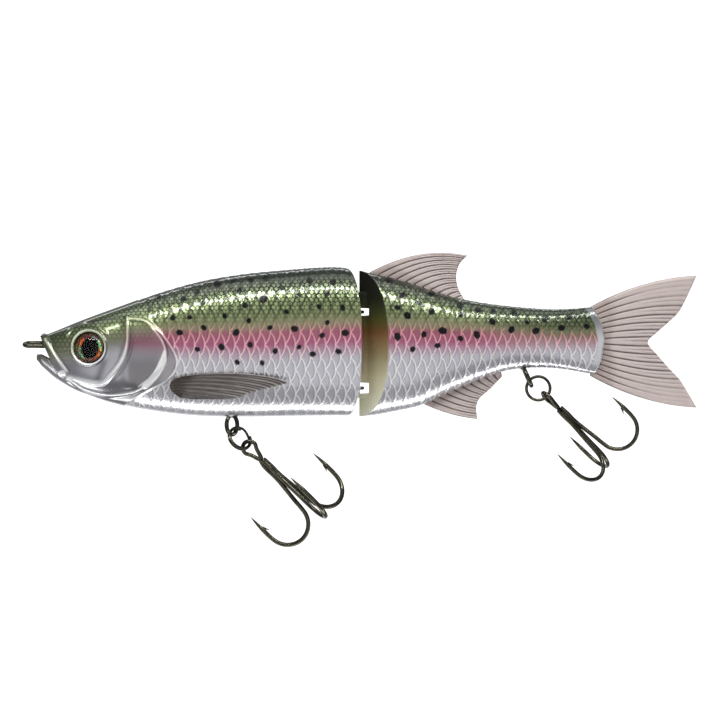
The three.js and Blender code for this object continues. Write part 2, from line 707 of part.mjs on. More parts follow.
const frontSolid = frontSegment();
const rearSolid = rearSegment();
for (const [word, side] of [["left", -1], ["right", 1]]) {
  add(`front_shell_${word}`, withoutCrumbs(frontSolid.intersect(sideBlock(side))), "chrome");
  add(`rear_shell_${word}`, withoutCrumbs(rearSolid.intersect(sideBlock(side))), "chrome");
  add(`eye_disc_${word}`, eyeDisc(side), "foil");
  add(`eye_lens_${word}`, eyeLens(side), "resin");
  add(`pectoral_fin_${word}`, pectoralFin(side), "darkSoft");
}

add("line_tie", lineTie(), "black");
add("hinge_pin", hingePin(), "steel");
for (const eye of HINGE_EYES) add(eye.name, hingeEye(eye), "steel");
add("dorsal_fin", finPlate(DORSAL_FIN, FIN_THICKNESS), "soft");
add("anal_fin", finPlate(ANAL_FIN, FIN_THICKNESS), "soft");
add("tail_fin", finPlate(TAIL_FIN, 2 * TAIL_TAB), "soft");

for (const [segment, balls] of [["front", FRONT_BALLS], ["rear", REAR_BALLS]]) {
  balls.places.forEach((place, i) => {
    add(`${segment}_ballast_ball_${i + 1}`, ball(balls.radius, place), "steel");
  });
}

for (const [segment, rig] of [["front", bellyRig], ["rear", tailRig]]) {
  add(`${segment}_hanger_barrel`, hangerBarrel(rig), "brass");
  add(`${segment}_hanger_eye`, hangerEye(rig), "black");
  add(`${segment}_split_ring`, splitRing(rig), "black");
  add(`${segment}_treble_eyed_hook`, eyedHook(rig), "black");
  add(`${segment}_treble_twin_hooks`, twinHooks(rig), "black");
}

export default lure;
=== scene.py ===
"""The looks of a two-piece jointed swimbait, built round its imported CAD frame.

Everything is in metres in the CAD frame: +X runs from the line tie to the tail, +Z is the back and
-Y is the fish's left side. Drawn sizes are in millimetres and MM turns them into metres.
"""

import math

import bpy
import numpy as np
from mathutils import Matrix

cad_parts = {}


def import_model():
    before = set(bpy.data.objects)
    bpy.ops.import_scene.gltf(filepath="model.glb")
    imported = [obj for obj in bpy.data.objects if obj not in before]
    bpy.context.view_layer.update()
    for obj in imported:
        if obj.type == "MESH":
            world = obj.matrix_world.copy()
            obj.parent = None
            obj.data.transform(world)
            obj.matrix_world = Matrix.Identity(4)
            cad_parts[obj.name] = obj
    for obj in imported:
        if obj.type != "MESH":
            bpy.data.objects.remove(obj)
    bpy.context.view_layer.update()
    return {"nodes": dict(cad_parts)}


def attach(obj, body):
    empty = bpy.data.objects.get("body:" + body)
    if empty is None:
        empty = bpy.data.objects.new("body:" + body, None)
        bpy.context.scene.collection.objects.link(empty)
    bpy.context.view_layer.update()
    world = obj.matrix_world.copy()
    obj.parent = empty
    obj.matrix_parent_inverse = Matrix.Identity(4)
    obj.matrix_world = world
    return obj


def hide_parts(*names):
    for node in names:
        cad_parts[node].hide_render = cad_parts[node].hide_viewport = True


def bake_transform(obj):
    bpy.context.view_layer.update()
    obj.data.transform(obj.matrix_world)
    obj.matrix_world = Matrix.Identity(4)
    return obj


MM = 0.001

# ---------- driving dimensions, in millimetres ----------

# The body's outlines as [x, value], the same as the CAD's.
TOP_LINE = [
    (1.6, 1.9), (5.4, 3.1), (13.5, 6.4), (24.4, 10.4), (35.2, 14.2), (46, 17.2), (57, 19.1), (68, 20.2),
    (79, 21), (85, 20.9), (92, 19.5), (101, 17.4), (110.5, 14.2), (117, 12.4), (127, 10.8), (140, 9.7),
    (148, 9.9), (153, 10.5), (158, 11.2),
]
BELLY_LINE = [
    (1.6, -4.3), (3, -5.8), (7, -9.3), (13.5, -12.9), (24.4, -16.4), (35.2, -18.4), (46, -19.5),
    (60, -19.7), (73, -19.5), (84, -19.4), (91, -19.5), (99.4, -18.1), (106, -16.5), (115, -12.4),
    (125.4, -8.3), (130, -7), (137, -6.4), (143.4, -6.7), (153, -8.3), (158, -9.2),
]
HALF_WIDTH = [
    (1.6, 1.9), (4, 3.3), (8, 5.2), (13.5, 7.1), (20, 8.5), (30, 9.8), (42, 10.5), (57, 10.8), (72, 10.6),
    (85, 10.1), (97, 9.3), (108, 8.1), (118, 6.7), (128, 5.3), (138, 4.3), (147, 3.6), (158, 3),
]
SQUARENESS = 2.3
SKIN_INSET = 0.16  # the painted relief stands this much inside the CAD's form before it is raised
SEAM = 0.05

GROOVE_X, GROOVE_SLOPE = 85.3, 0.459
WEDGE_X, WEDGE_SLOPE = 89.0, 0.853
PIN_X = 88.6
KNUCKLE_RADIUS, KNUCKLE_LOW, KNUCKLE_HIGH = 2.3, -14.5, 14.1
NOTCHES = [(7.7, 9.9), (-13.3, -10.3)]
NOTCH_BACK = 91.6
TAIL_END = [
    (-9.6, 151.6), (-8.3, 152.5), (-4, 154.4), (1.3, 155.2), (5.5, 154.4), (9.3, 152.5), (10.8, 151.6),
]

# The mouth: the open wedge between the upper jaw's bar and the lower jaw.
MOUTH = [(2.7, 2.1), (3.9, -0.7), (6.7, -6.6), (5.5, -4.3), (2.6, -2.6), (1.2, -2.9), (0, -2.9), (0, 2.1)]
MAXILLA = [(3.9, 1.6), (5.4, -2.2), (8.7, -7.5)]
MAXILLA_RIB = [(4.3, 1.2), (6.9, -2.6), (10.2, -7.2)]

EYE_X, EYE_Z = 16.1, -0.85

# Raised and sunk lines of the head, as (x, z).
CHEEK_RIDGE = [(26.6, 6.9), (26.6, 0.5), (25, -4.4), (21.9, -8.5), (19.4, -10.6), (15.7, -10.4), (10.4, -8.9)]
COVER_EDGE = [(26.8, 6.9), (31.2, 6.4), (33.7, 4), (36.2, 0.5), (36.9, -3.5), (34.4, -7.4), (29.7, -11.2)]
GILL_EDGE = [(31.8, 6.3), (35.6, 3.2), (39.4, -2.4), (39.9, -6), (37.2, -9.7), (31.2, -12.8), (27, -15.3)]
COVER_FOOT = [(10.4, -9.1), (15, -12.1), (21, -13.5), (27.5, -12.9), (31.4, -11.2)]
COVER_CRESCENT = [(36.8, -1), (36.2, -4.5), (34.4, -8), (31.4, -11.2)]
CHEEK_TOP = [(11.6, 4.5), (16, 6.0), (22, 6.9), (25.6, 7.4), (26.8, 6.4)]
BROW = [(9.6, 2.3), (11.4, 4), (14.6, 5.2), (18.4, 4.6), (21, 2.6)]

# The pink stripe's middle and half height at places along the body.
STRIPE_X = [0, 12, 21, 27, 40, 60, 86, 110, 144, 156]
STRIPE_MIDDLE = [-3.4, -3, 0.2, 0.7, 0.9, 0.85, 2.1, 1.6, 1.1, 1.2]
STRIPE_HALF_HEIGHT = [3, 3, 2.6, 2.4, 3.2, 3.6, 3.6, 3.2, 2.1, 2.1]

SCALE_PITCH = 2.71  # of the scales along the body
SCALE_RISE = 3.4  # from one row of scales to the next
CELL_PITCH = 1.28  # of the pale dots on the back

# Black spots as (x, z, radius) on the left side. The right side has them a little further back.
SPOTS = [
    (38.8, 7.2, 0.8), (43.4, 7.3, 0.7), (40.7, 3.2, 0.9), (47.2, 4.5, 0.8), (52.8, 7.7, 0.75),
    (59.3, 6.4, 0.75), (55.9, 3.2, 0.95), (65, 4.5, 0.75), (71.6, 4.2, 0.95), (69.4, 8.8, 0.7),
    (78.1, 10.2, 0.7), (84.6, 9.9, 0.8), (80.4, 5.9, 0.7), (79, 2.4, 0.8), (85.2, 3.1, 1.0),
    (45.5, -1.3, 0.75), (52, -0.7, 0.95), (59.7, -0.1, 0.8), (66.4, -1.8, 0.8), (72.8, -0.7, 0.7),
    (76.5, -2.6, 0.85), (83.4, -1.9, 0.85), (56.2, -4.8, 0.75), (62.9, -5, 0.75), (50.7, 16.5, 1.1),
    (45.3, 14.2, 0.75), (41.5, 12.3, 0.8), (55, 17.3, 0.7), (59.7, 17.4, 0.75), (63.8, 17.9, 0.85),
    (56.7, 14.5, 0.8), (58.3, 10.5, 0.8), (63.1, 12.2, 1.1), (68.3, 15.2, 0.7), (75.6, 17.4, 0.85),
    (82, 16.8, 0.85), (72.9, 13.3, 0.6), (80.3, 13.7, 0.85), (46.9, 11.2, 0.7), (34.6, 13.1, 0.8),
    (99.3, 10, 0.8), (102, 7.8, 1.0), (99.3, 2.1, 1.05), (106.4, 2.7, 0.85), (103.4, -1.3, 0.8),
    (110.1, -0.3, 0.8), (111.5, 3.7, 1.1), (116.3, 1.6, 0.8), (120.7, 2.6, 1.0), (108.5, 8.9, 0.9),
    (100.6, 13.3, 0.9), (108.6, 13.8, 0.9), (97.2, 17.6, 1.0), (105, 11.2, 0.7), (116.1, 10.6, 0.9),
    (116.4, 8.1, 0.75), (130.1, 4, 0.95), (136.7, 3.7, 1.0), (143.7, 4.5, 0.9), (150.5, 4.9, 0.8),
    (124.9, 6.2, 0.95), (130.9, 8.6, 0.85), (139.1, 7, 0.9), (145.9, 7.5, 0.8), (134.5, 6.1, 0.7),
    (121, 9.4, 0.8), (90.4, 14.6, 0.8), (125.3, 9.1, 0.7),
]

# Fins, each a patch between a root line and a free edge. A ray runs from one to the other.
DORSAL_ROOT = [(91.4, 19.3), (99, 16.9), (108, 14.1), (117, 11.6)]
DORSAL_EDGE = [(118.3, 24.1), (116.3, 22), (115.3, 19), (115.7, 15.6), (117.4, 12.2)]
ANAL_ROOT = [(105.9, -15.9), (113, -12.6), (120, -9.7), (127.4, -7.2)]
ANAL_EDGE = [(121, -20.2), (120.7, -17), (121.6, -14.6), (124.4, -12.1), (127.7, -8.7)]
TAIL_ROOT = [(151.2, 10.0), (153.3, 6), (154.2, 1.3), (153.5, -4), (151.4, -8.4)]
TAIL_EDGE = [
    (180.4, 18.7), (178.6, 14.6), (175.9, 9.3), (173.2, 6.4), (169.6, 3.2), (167.2, 0.6), (169.6, -2.6),
    (173.2, -6.7), (175.9, -9.6), (178.6, -14), (180.4, -17.1),
]
PECTORAL_ROOT = [(39.4, -9.6), (38.2, -10.4), (38.1, -11.6), (38.9, -13.0), (40.4, -14.1)]
PECTORAL_EDGE = [(69.8, -10.4), (64.5, -11.8), (59.8, -13), (54.4, -14.7), (45.3, -14.6)]

DROOP = math.radians(44.5)  # of the front treble's shank, below level
HANGER_LOOP, HANGER_WIRE = 2.6, 0.6
RING_RADIUS, RING_PITCH = 3.2, 0.66
RING_THICK, RING_DEEP = 0.41, 0.31  # half sizes of its flattened wire
RING_HANG = RING_RADIUS - 0.42 - HANGER_WIRE - 0.2  # from the hanger's wire to the ring's middle

# A treble's sizes, before it is scaled. Downward runs from the ring to the bend.
HOOK_WIRE, HOOK_SPREAD = 0.62, 0.84
BEND_RADIUS, BEND_OUT, BEND_DOWN, POINT_DOWN = 6.2, 8.1, 21.8, 13.8
HOOK_EYE, HOOK_EYE_WIRE, HOOK_EYE_TOP, SHANK_TOP = 1.95, 0.57, -1.4, 4.4

# ---------- curves ----------

def line_through(points):
    """A smooth function through (x, value) points, with slopes taken from their neighbours."""
    xs, ys = np.array(points, float).T
    before = np.maximum(np.arange(len(xs)) - 1, 0)
    after = np.minimum(np.arange(len(xs)) + 1, len(xs) - 1)
    slopes = (ys[after] - ys[before]) / (xs[after] - xs[before])

    def value(x):
        x = np.asarray(x, float)
        i = np.clip(np.searchsorted(xs, x, side="right") - 1, 0, len(xs) - 2)
        span = xs[i + 1] - xs[i]
        t = np.clip((x - xs[i]) / span, 0, 1)
        s = 1 - t
        rise = span * (slopes[i] * s * s * t - slopes[i + 1] * t * t * s)
        return ys[i] * s * s * (1 + 2 * t) + ys[i + 1] * t * t * (3 - 2 * t) + rise

    return value


def smooth_path(points, count, closed=False):
    """count points, evenly spaced along a smooth curve through the given ones."""
    p = np.array(points, float)
    if closed:
        p = np.vstack([p[-1], p, p[0], p[1]])
    else:
        p = np.vstack([2 * p[0] - p[1], p, 2 * p[-1] - p[-2]])
    pieces = []
    t = np.linspace(0, 1, 24, endpoint=False)[:, None]
    for i in range(1, len(p) - 2):
        a, b, c, d = p[i - 1], p[i], p[i + 1], p[i + 2]
        pieces.append(
            0.5 * (2 * b + (c - a) * t + (2 * a - 5 * b + 4 * c - d) * t**2 + (3 * b - a - 3 * c + d) * t**3)
        )
    pieces.append(p[-2][None])
    dense = np.vstack(pieces)
    run = np.concatenate([[0], np.cumsum(np.linalg.norm(np.diff(dense, axis=0), axis=1))])
    at = np.linspace(0, run[-1], count, endpoint=not closed)
    return np.stack([np.interp(at, run, dense[:, k]) for k in range(dense.shape[1])], axis=1)


def rise(x, low=0.0, high=1.0):
    """0 below low, 1 above high, and a smooth step between."""
    t = np.clip((np.asarray(x, float) - low) / (high - low), 0, 1)
    return t * t * (3 - 2 * t)


def nearest_on(line, x, z):
    """The distance in the side view from each (x, z) to a line of straight steps, and where it is met."""
    best = np.full(np.shape(x), 1e9)
    near_x, near_z = np.array(x, float), np.array(z, float)
    for (ax, az), (bx, bz) in zip(line[:-1], line[1:]):
        dx, dz = bx - ax, bz - az
        t = np.clip(((x - ax) * dx + (z - az) * dz) / (dx * dx + dz * dz), 0, 1)
        away = np.hypot(x - ax - t * dx, z - az - t * dz)
        closer = away < best
        near_x = np.where(closer, ax + t * dx, near_x)
        near_z = np.where(closer, az + t * dz, near_z)
        best = np.minimum(best, away)
    return best, near_x, near_z


def distance_to(points, x, z):
    """Distance in the side view from each (x, z) to a smooth line through the points."""
    return nearest_on(smooth_path(points, 40), x, z)[0]


top_at = line_through(TOP_LINE)
belly_at = line_through(BELLY_LINE)
width_at = line_through(HALF_WIDTH)


def flank_at(x, z):
    """Half the body's width at a place in the side view."""
    middle = (top_at(x) + belly_at(x)) / 2
    reach = (top_at(x) - belly_at(x)) / 2
    share = np.minimum(np.abs((z - middle) / reach), 1)
    return width_at(x) * (1 - share**SQUARENESS) ** (1 / SQUARENESS)


# ---------- meshes ----------

def add_mesh(name, verts, faces, attributes=None, face_slots=None):
    """A smooth-shaded mesh object from vertices in millimetres."""
    mesh = bpy.data.meshes.new(name)
    verts = np.asarray(verts, np.float64).reshape(-1, 3) * MM
    faces = np.asarray(faces, np.int32)
    mesh.vertices.add(len(verts))
    mesh.vertices.foreach_set("co", verts.ravel())
    mesh.loops.add(faces.size)
    mesh.loops.foreach_set("vertex_index", faces.ravel())
    mesh.polygons.add(len(faces))
    mesh.polygons.foreach_set("loop_start", np.arange(0, faces.size, faces.shape[1], dtype=np.int32))
    mesh.update(calc_edges=True)
    mesh.validate()
    mesh.polygons.foreach_set("use_smooth", np.ones(len(mesh.polygons), bool))
    for key, values in (attributes or {}).items():
        attribute = mesh.attributes.new(key, "FLOAT", "POINT")
        attribute.data.foreach_set("value", np.asarray(values, np.float32).ravel())
    if face_slots is not None:
        mesh.polygons.foreach_set("material_index", np.asarray(face_slots, np.int32))
    obj = bpy.data.objects.new(name, mesh)
    bpy.context.scene.collection.objects.link(obj)
    return obj


def grid_faces(rows, columns, wrap_rows=False, wrap_columns=False, flip=False):
    """The quads of a grid of points, closed on itself in either direction where asked."""
    index = np.arange(rows * columns).reshape(rows, columns)
    if wrap_rows:
        index = np.vstack([index, index[:1]])
    if wrap_columns:
        index = np.hstack([index, index[:, :1]])
    quads = np.stack([index[:-1, :-1], index[:-1, 1:], index[1:, 1:], index[1:, :-1]], axis=-1)
    quads = quads.reshape(-1, 4)
    return quads[:, ::-1] if flip else quads


def wire(name, points, radius, closed=False, steps=160, sides=14):
    """Round wire along a curve. radius is a number, or a function of the way along from 0 to 1."""
    path = smooth_path(points, steps, closed)
    if closed:
        tangent = np.roll(path, -1, 0) - np.roll(path, 1, 0)
    else:
        tangent = np.gradient(path, axis=0)
    tangent /= np.linalg.norm(tangent, axis=1)[:, None]
    normal = np.cross(tangent[0], [0.31, 0.17, 0.93])
    normals = []
    for t in tangent:
        normal = normal - t * normal.dot(t)
        normal /= np.linalg.norm(normal)
        normals.append(normal)
    normals = np.array(normals)
    if closed:
        normals = np.stack([unwound(normals, tangent, i) for i in range(steps)])
    binormals = np.cross(tangent, normals)
    share = np.linspace(0, 1, steps)
    radii = radius(share) if callable(radius) else np.full(steps, radius)
    angle = np.linspace(0, 2 * math.pi, sides, endpoint=False)
    ring = np.cos(angle)[None, :, None] * normals[:, None] + np.sin(angle)[None, :, None] * binormals[:, None]
    verts = path[:, None] + ring * radii[:, None, None]
    faces = grid_faces(steps, sides, wrap_rows=closed, wrap_columns=True)
    if closed:
        return add_mesh(name, verts, faces)
    return add_mesh(name, *with_end_caps(verts, faces, path))


def unwound(normals, tangent, i):
    """The i-th normal of a closed wire, turned so that the last one meets the first without a twist."""
    first, last, axis = normals[0], normals[-1], tangent[0]
    twist = math.atan2(axis.dot(np.cross(last, first)), last.dot(first))
    angle = twist * i / len(normals)
    normal, t = normals[i], tangent[i]
    return normal * math.cos(angle) + np.cross(t, normal) * math.sin(angle)


def with_end_caps(verts, faces, path):
    """Closes the two ends of a tube."""
    rows, sides = verts.shape[:2]
    flat = verts.reshape(-1, 3)
    ends = np.vstack([flat, path[:1], path[-1:]])
    start, finish = len(flat), len(flat) + 1
    around = np.arange(sides)
    after = (around + 1) % sides
    last = (rows - 1) * sides
    cap = np.stack([np.full(sides, start), around, after, np.full(sides, start)], axis=1)
    tail = np.stack([np.full(sides, finish), last + after, last + around, np.full(sides, finish)], axis=1)
    quads = np.vstack([faces, cap, tail])
    return ends, quads


def joined(name, parts):
    """Several mesh objects as one."""
    bpy.ops.object.select_all(action="DESELECT")
    for part in parts:
        part.select_set(True)
    bpy.context.view_layer.objects.active = parts[0]
    bpy.ops.object.join()
    parts[0].name = name
    return parts[0]


def place(obj, body, slot, material, *nodes):
    """Gives a piece its material, ties it to its CAD body, and hides the CAD nodes that it stands for."""
    for m in material if isinstance(material, (list, tuple)) else [material]:
        obj.data.materials.append(m)
    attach(obj, body)
    if nodes:
        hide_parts(*nodes)
    return obj


# ---------- the painted skin ----------

def gill_x(z):
    """Where the head's smooth cover ends and the scales start."""
    heights = [-20, -15.3, -12.8, -9.7, -6, -2.4, 3.2, 6.3, 10, 22]
    edges = [22, 27, 31.2, 37.2, 39.9, 39.4, 35.6, 31.8, 29.8, 26]
    return np.interp(z, heights, edges)


def scale_ribs(x, t, width=0.165):
    """1 on the raised edges of the scales: rows of arcs that bulge towards the tail, half a pitch apart."""
    ribs = np.zeros(np.shape(x))
    row = np.floor(t / SCALE_RISE)
    for shift in (0, 1):
        j = row + shift
        d = t / SCALE_RISE - j
        arc = SCALE_PITCH / 2 * (1 - np.abs(d) ** 2.2) + (j % 2) * SCALE_PITCH / 2
        slope = SCALE_PITCH / SCALE_RISE * 1.1 * np.abs(d) ** 1.2
        gap = (x - arc + SCALE_PITCH / 2) % SCALE_PITCH - SCALE_PITCH / 2
        away = np.abs(gap) / np.sqrt(1 + slope**2)
        ribs = np.maximum(ribs, np.exp(-((away / width) ** 2)))
    return ribs


def scale_tilt(x, t):
    """Each scale rises towards its free edge: 0 at its root and 1 at its edge."""
    row = np.floor(t / SCALE_RISE + 0.5)
    d = t / SCALE_RISE - row
    arc = SCALE_PITCH / 2 * (1 - np.abs(d) ** 2.2) + (row % 2) * SCALE_PITCH / 2
    return ((x - arc) % SCALE_PITCH) / SCALE_PITCH


def line_mask(points, x, z, width):
    """1 on a smooth line through the points, fading out over about the width."""
    return np.exp(-((distance_to(points, x, z) / width) ** 2))


def head_relief(x, z):
    """Height of the gill cover, the cheek, the jaw's bar and the eye's rim on the head."""
    on_head = rise(gill_x(z) + 0.2 - x, 0, 0.5)
    cover_heights, cover_edges = np.array(sorted((b, a) for a, b in COVER_EDGE)).T
    cover = rise(np.interp(z, cover_heights, cover_edges) - x, -0.2, 0.5)
    cover *= rise(6.9 - z, -0.2, 0.6) * rise(z + 12.6, 0, 1.5) * rise(x, 24, 27)
    height = 0.22 * on_head + 0.3 * cover
    height += 0.42 * line_mask(CHEEK_RIDGE, x, z, 0.62)
    height -= 0.22 * line_mask(np.array(CHEEK_RIDGE) + (1.1, -0.5), x, z, 0.4)
    height += 0.26 * line_mask(COVER_EDGE, x, z, 0.5)
    height += 0.2 * line_mask(GILL_EDGE, x, z, 0.4)
    height += 0.3 * line_mask(COVER_FOOT, x, z, 0.5)
    height -= 0.25 * line_mask(np.array(COVER_FOOT) + (0, -1), x, z, 0.35)
    height += 0.5 * rise(1.25 - distance_to(MAXILLA, x, z), 0, 0.35)
    height += 0.22 * line_mask(BROW, x, z, 0.45)
    for rank in range(4):
        crease = [(7.6 + 0.4 * rank, -1.2 - 1.2 * rank), (11.6, -0.9 - 1.1 * rank)]
        height -= 0.12 * line_mask(crease, x, z, 0.14)
    from_eye = np.hypot(x - EYE_X, z - EYE_Z)
    height += 0.42 * np.exp(-(((from_eye - 4.7) / 0.36) ** 2))
    return height - 1.7 * rise(4.2 - from_eye, 0, 0.3)


def skin_height(x, z, t, smooth_end):
    """How far the skin is raised, and where its ribs and the shade beside them are."""
    scales = rise(x - gill_x(z), 0.2, 0.9) * smooth_end * (1 - 0.55 * rise(-16.3 - z, 0, 1.2))
    ribs = scale_ribs(x, t, 0.165 + 0.085 * rise(z, 6, 9)) * scales
    height = -SKIN_INSET + 0.08 * ribs + 0.03 * scale_tilt(x, t) * scales
    head = np.where(x < 44, head_relief(x, z), 0)
    return height + head, ribs, scale_ribs(x + 0.36, t) * scales


def spot_mask(x, z, side):
    """1 in the black spots, whose outlines are a little ragged."""
    mask = np.zeros(np.shape(x))
    for rank, (sx, sz, radius) in enumerate(SPOTS):
        shift = 0 if side < 0 else 1.3 * math.sin(rank)
        dx, dz = x - sx - shift, z - sz
        angle = np.arctan2(dz, dx)
        ragged = radius * (1 + 0.09 * np.sin(2 * angle + rank) + 0.05 * np.sin(5 * angle + 2.3 * rank))
        mask = np.maximum(mask, rise(ragged - np.hypot(dx, dz), -0.14, 0.14))
    return mask


def band_at(x, z):
    """Height over the pink stripe's middle, in half heights of the stripe, which sets the paint."""
    middle = np.interp(x, STRIPE_X, STRIPE_MIDDLE)
    half = np.interp(x, STRIPE_X, STRIPE_HALF_HEIGHT)
    return (z - middle) / half


def head_lines(x, z):
    """Where painted highlights lie on the head's raised edges, and where painted shade lies in the creases
    beside them.
    """
    low = rise(-z, -2, 9)
    from_eye = np.hypot(x - EYE_X, z - EYE_Z)
    foot = np.interp(x, *np.transpose(COVER_FOOT))
    chin = rise(foot - 0.9 - z, 0, 0.4) * rise(z - belly_at(x) - 1.0, 0, 0.7)
    chin = chin * rise(x, 9, 13) * rise(33 - x, 0, 6)
    pale = np.maximum.reduce([
        line_mask(CHEEK_RIDGE, x, z, 0.24 + 0.5 * low),
        line_mask(COVER_EDGE, x, z, 0.2),
        line_mask(GILL_EDGE, x, z, 0.2),
        line_mask(COVER_FOOT, x, z, 0.26),
        line_mask(MAXILLA_RIB, x, z, 0.3),
        rise(1.1 * rise(-z, -1, 5) - distance_to(COVER_CRESCENT, x, z), 0, 0.35),
        rise(1.25 - np.hypot(x - 8.9, z + 7.9), 0, 0.4),
        rise(0.3 - np.abs(from_eye - 4.5), 0, 0.16),
        chin * rise(gill_x(z) - x, 0, 0.5),
    ])
    dark = np.maximum.reduce([
        line_mask(CHEEK_TOP, x, z, 0.22),
        0.6 * line_mask(np.array(CHEEK_RIDGE) + (0.85, -0.5), x, z, 0.24),
        0.8 * line_mask(np.array(COVER_EDGE) + (0.55, 0.2), x, z, 0.2),
        0.7 * line_mask(np.array(GILL_EDGE) + (-0.5, 0), x, z, 0.16),
        0.9 * line_mask(np.array(COVER_FOOT) + (0, -0.75), x, z, 0.22),
        0.8 * line_mask(np.array(MAXILLA_RIB) + (0.6, 0.1), x, z, 0.2),
        np.exp(-(((from_eye - 4.98) / 0.17) ** 2)),
        np.exp(-(((from_eye - 4.12) / 0.14) ** 2)),
    ])
    on_head = (x < 41) * 1.0
    return pale * on_head, np.maximum(dark - pale, 0) * on_head


def head_painted_dark_reflection(x, z):
    """Where a painted dark reflection darkens the chrome of the cheek and the gill cover, and where it is
    darkest.
    """
    cheek = np.exp(-(((x - 19.8 - 0.35 * (z + 6)) / 1.1) ** 2)) * rise(-z, 3, 5) * rise(10.5 + z, 0, 1.5)
    jaw = rise(-z, 3.5, 6) * rise(15 - x, 0, 4) * 0.4
    cover = rise(x - 26, 0, 1.5) * rise(-z, 0.5, 6) * rise(37 - x, 0, 3)
    foot = rise(x - 19, 0, 2) * rise(-z, 8, 11) * rise(31 - x, 0, 2)
    darkest = np.maximum(np.maximum(cheek, jaw), np.maximum(cover * 0.75, foot))
    return (0.3 + 0.7 * darkest) * rise(gill_x(z) - x, 0, 0.6)


def even_angles(count):
    """Angles from the back to the belly that space points evenly round a typical section."""
    angle = np.linspace(0, math.pi, 2001)
    y = 10 * np.abs(np.sin(angle)) ** (2 / SQUARENESS)
    z = 19 * np.sign(np.cos(angle)) * np.abs(np.cos(angle)) ** (2 / SQUARENESS)
    run = np.concatenate([[0], np.cumsum(np.hypot(np.diff(y), np.diff(z)))])
    return np.interp(np.linspace(0, run[-1], count), run, angle)


def body_points(x, angle, side):
    """Points of the body's form, from their place along it and their angle from the back."""
    middle = (top_at(x) + belly_at(x)) / 2
    reach = (top_at(x) - belly_at(x)) / 2
    nose = np.sqrt(np.clip(1 - np.clip(1 - (x - 1.6) / 1.6, 0, 1) ** 2, 0, 1))
    s, c = np.sin(angle), np.cos(angle)
    y = side * width_at(x) * nose * np.abs(s) ** (2 / SQUARENESS)
    jaw = middle + (1 - nose) * (-3.1 - middle)
    z = jaw + reach * (0.3 + 0.7 * nose) * np.sign(c) * np.abs(c) ** (2 / SQUARENESS)
    return np.stack([x, y, z], axis=-1)


def outward_normals(points):
    """Unit normals of a grid of points, all of them away from the lure's middle."""
    across = np.gradient(points, axis=1)
    along = np.gradient(points, axis=0)
    normal = np.cross(across, along)
    length = np.linalg.norm(normal, axis=2, keepdims=True)
    normal /= np.maximum(length, 1e-9)
    middle = points.copy()
    middle[..., 1] = 0
    middle[..., 2] = (top_at(points[..., 0]) + belly_at(points[..., 0])) / 2
    sign = np.sign(np.sum(normal * (points - middle), axis=2, keepdims=True))
    sign[sign == 0] = 1
    return normal * sign


def relief_skin(points, side, smooth_end):
    """Raises the scales and the head's features on the form, and gives what the paint needs."""
    x, z = points[..., 0], points[..., 2]
    steps = np.linalg.norm(np.diff(points[..., 1:], axis=1), axis=2)
    run = np.concatenate([np.zeros((len(points), 1)), np.cumsum(steps, axis=1)], axis=1)
    widest = np.argmin(np.abs(z), axis=1)
    t = run[np.arange(len(points)), widest][:, None] - run
    height, ribs, shade = skin_height(x, z, t, smooth_end)
    pale, crease = head_lines(x, z)
    raised = points + outward_normals(points) * height[..., None]
    raised[..., 1] = side * np.maximum(side * raised[..., 1], SEAM * (np.abs(points[..., 1]) > 0.2))
    facts = {
        "band": band_at(x, z),
        "rib": ribs,
        "spot": spot_mask(x, z, side),
        "along": x,
        "around": t,
        "ridge": rise(0.62 - run / 19, 0, 0.5),
        "head": rise(gill_x(z) - x, 0, 0.6),
        "rim": np.zeros_like(x),
        "shade": shade,
        "pale": pale,
        "crease": crease,
        "blush": rise(x, 24.6, 28.5) * (1 - 0.55 * rise(x, 118, 142)),
        "painted_dark_reflection": head_painted_dark_reflection(x, z),
    }
    return raised, facts


def stacked(facts, extra_rows, before=False):
    """Adds rows of zeros to each fact, for the rows of a joint face."""
    out = {}
    for key, values in facts.items():
        blank = np.zeros((extra_rows, values.shape[1]))
        out[key] = np.vstack([blank, values] if before else [values, blank])
    return out


def in_mouth(x, z):
    """Whether a place lies in the open mouth, in the side view."""
    inside = np.zeros(np.shape(x), bool)
    for (ax, az), (bx, bz) in zip(MOUTH, MOUTH[1:] + MOUTH[:1]):
        crosses = (az > z) != (bz > z)
        with np.errstate(divide="ignore", invalid="ignore"):
            inside ^= crosses & (x < ax + (bx - ax) * (z - az) / (bz - az))
    return inside


def drawn_to_mouth(verts):
    """Moves the points that lie in the mouth to its nearest edge, so that the lips are clean."""
    x, z = verts[:, 0], verts[:, 2]
    inside = in_mouth(x, z)
    _, near_x, near_z = nearest_on(MOUTH[:6], x[inside], z[inside])
    verts[inside, 0], verts[inside, 2] = near_x, near_z


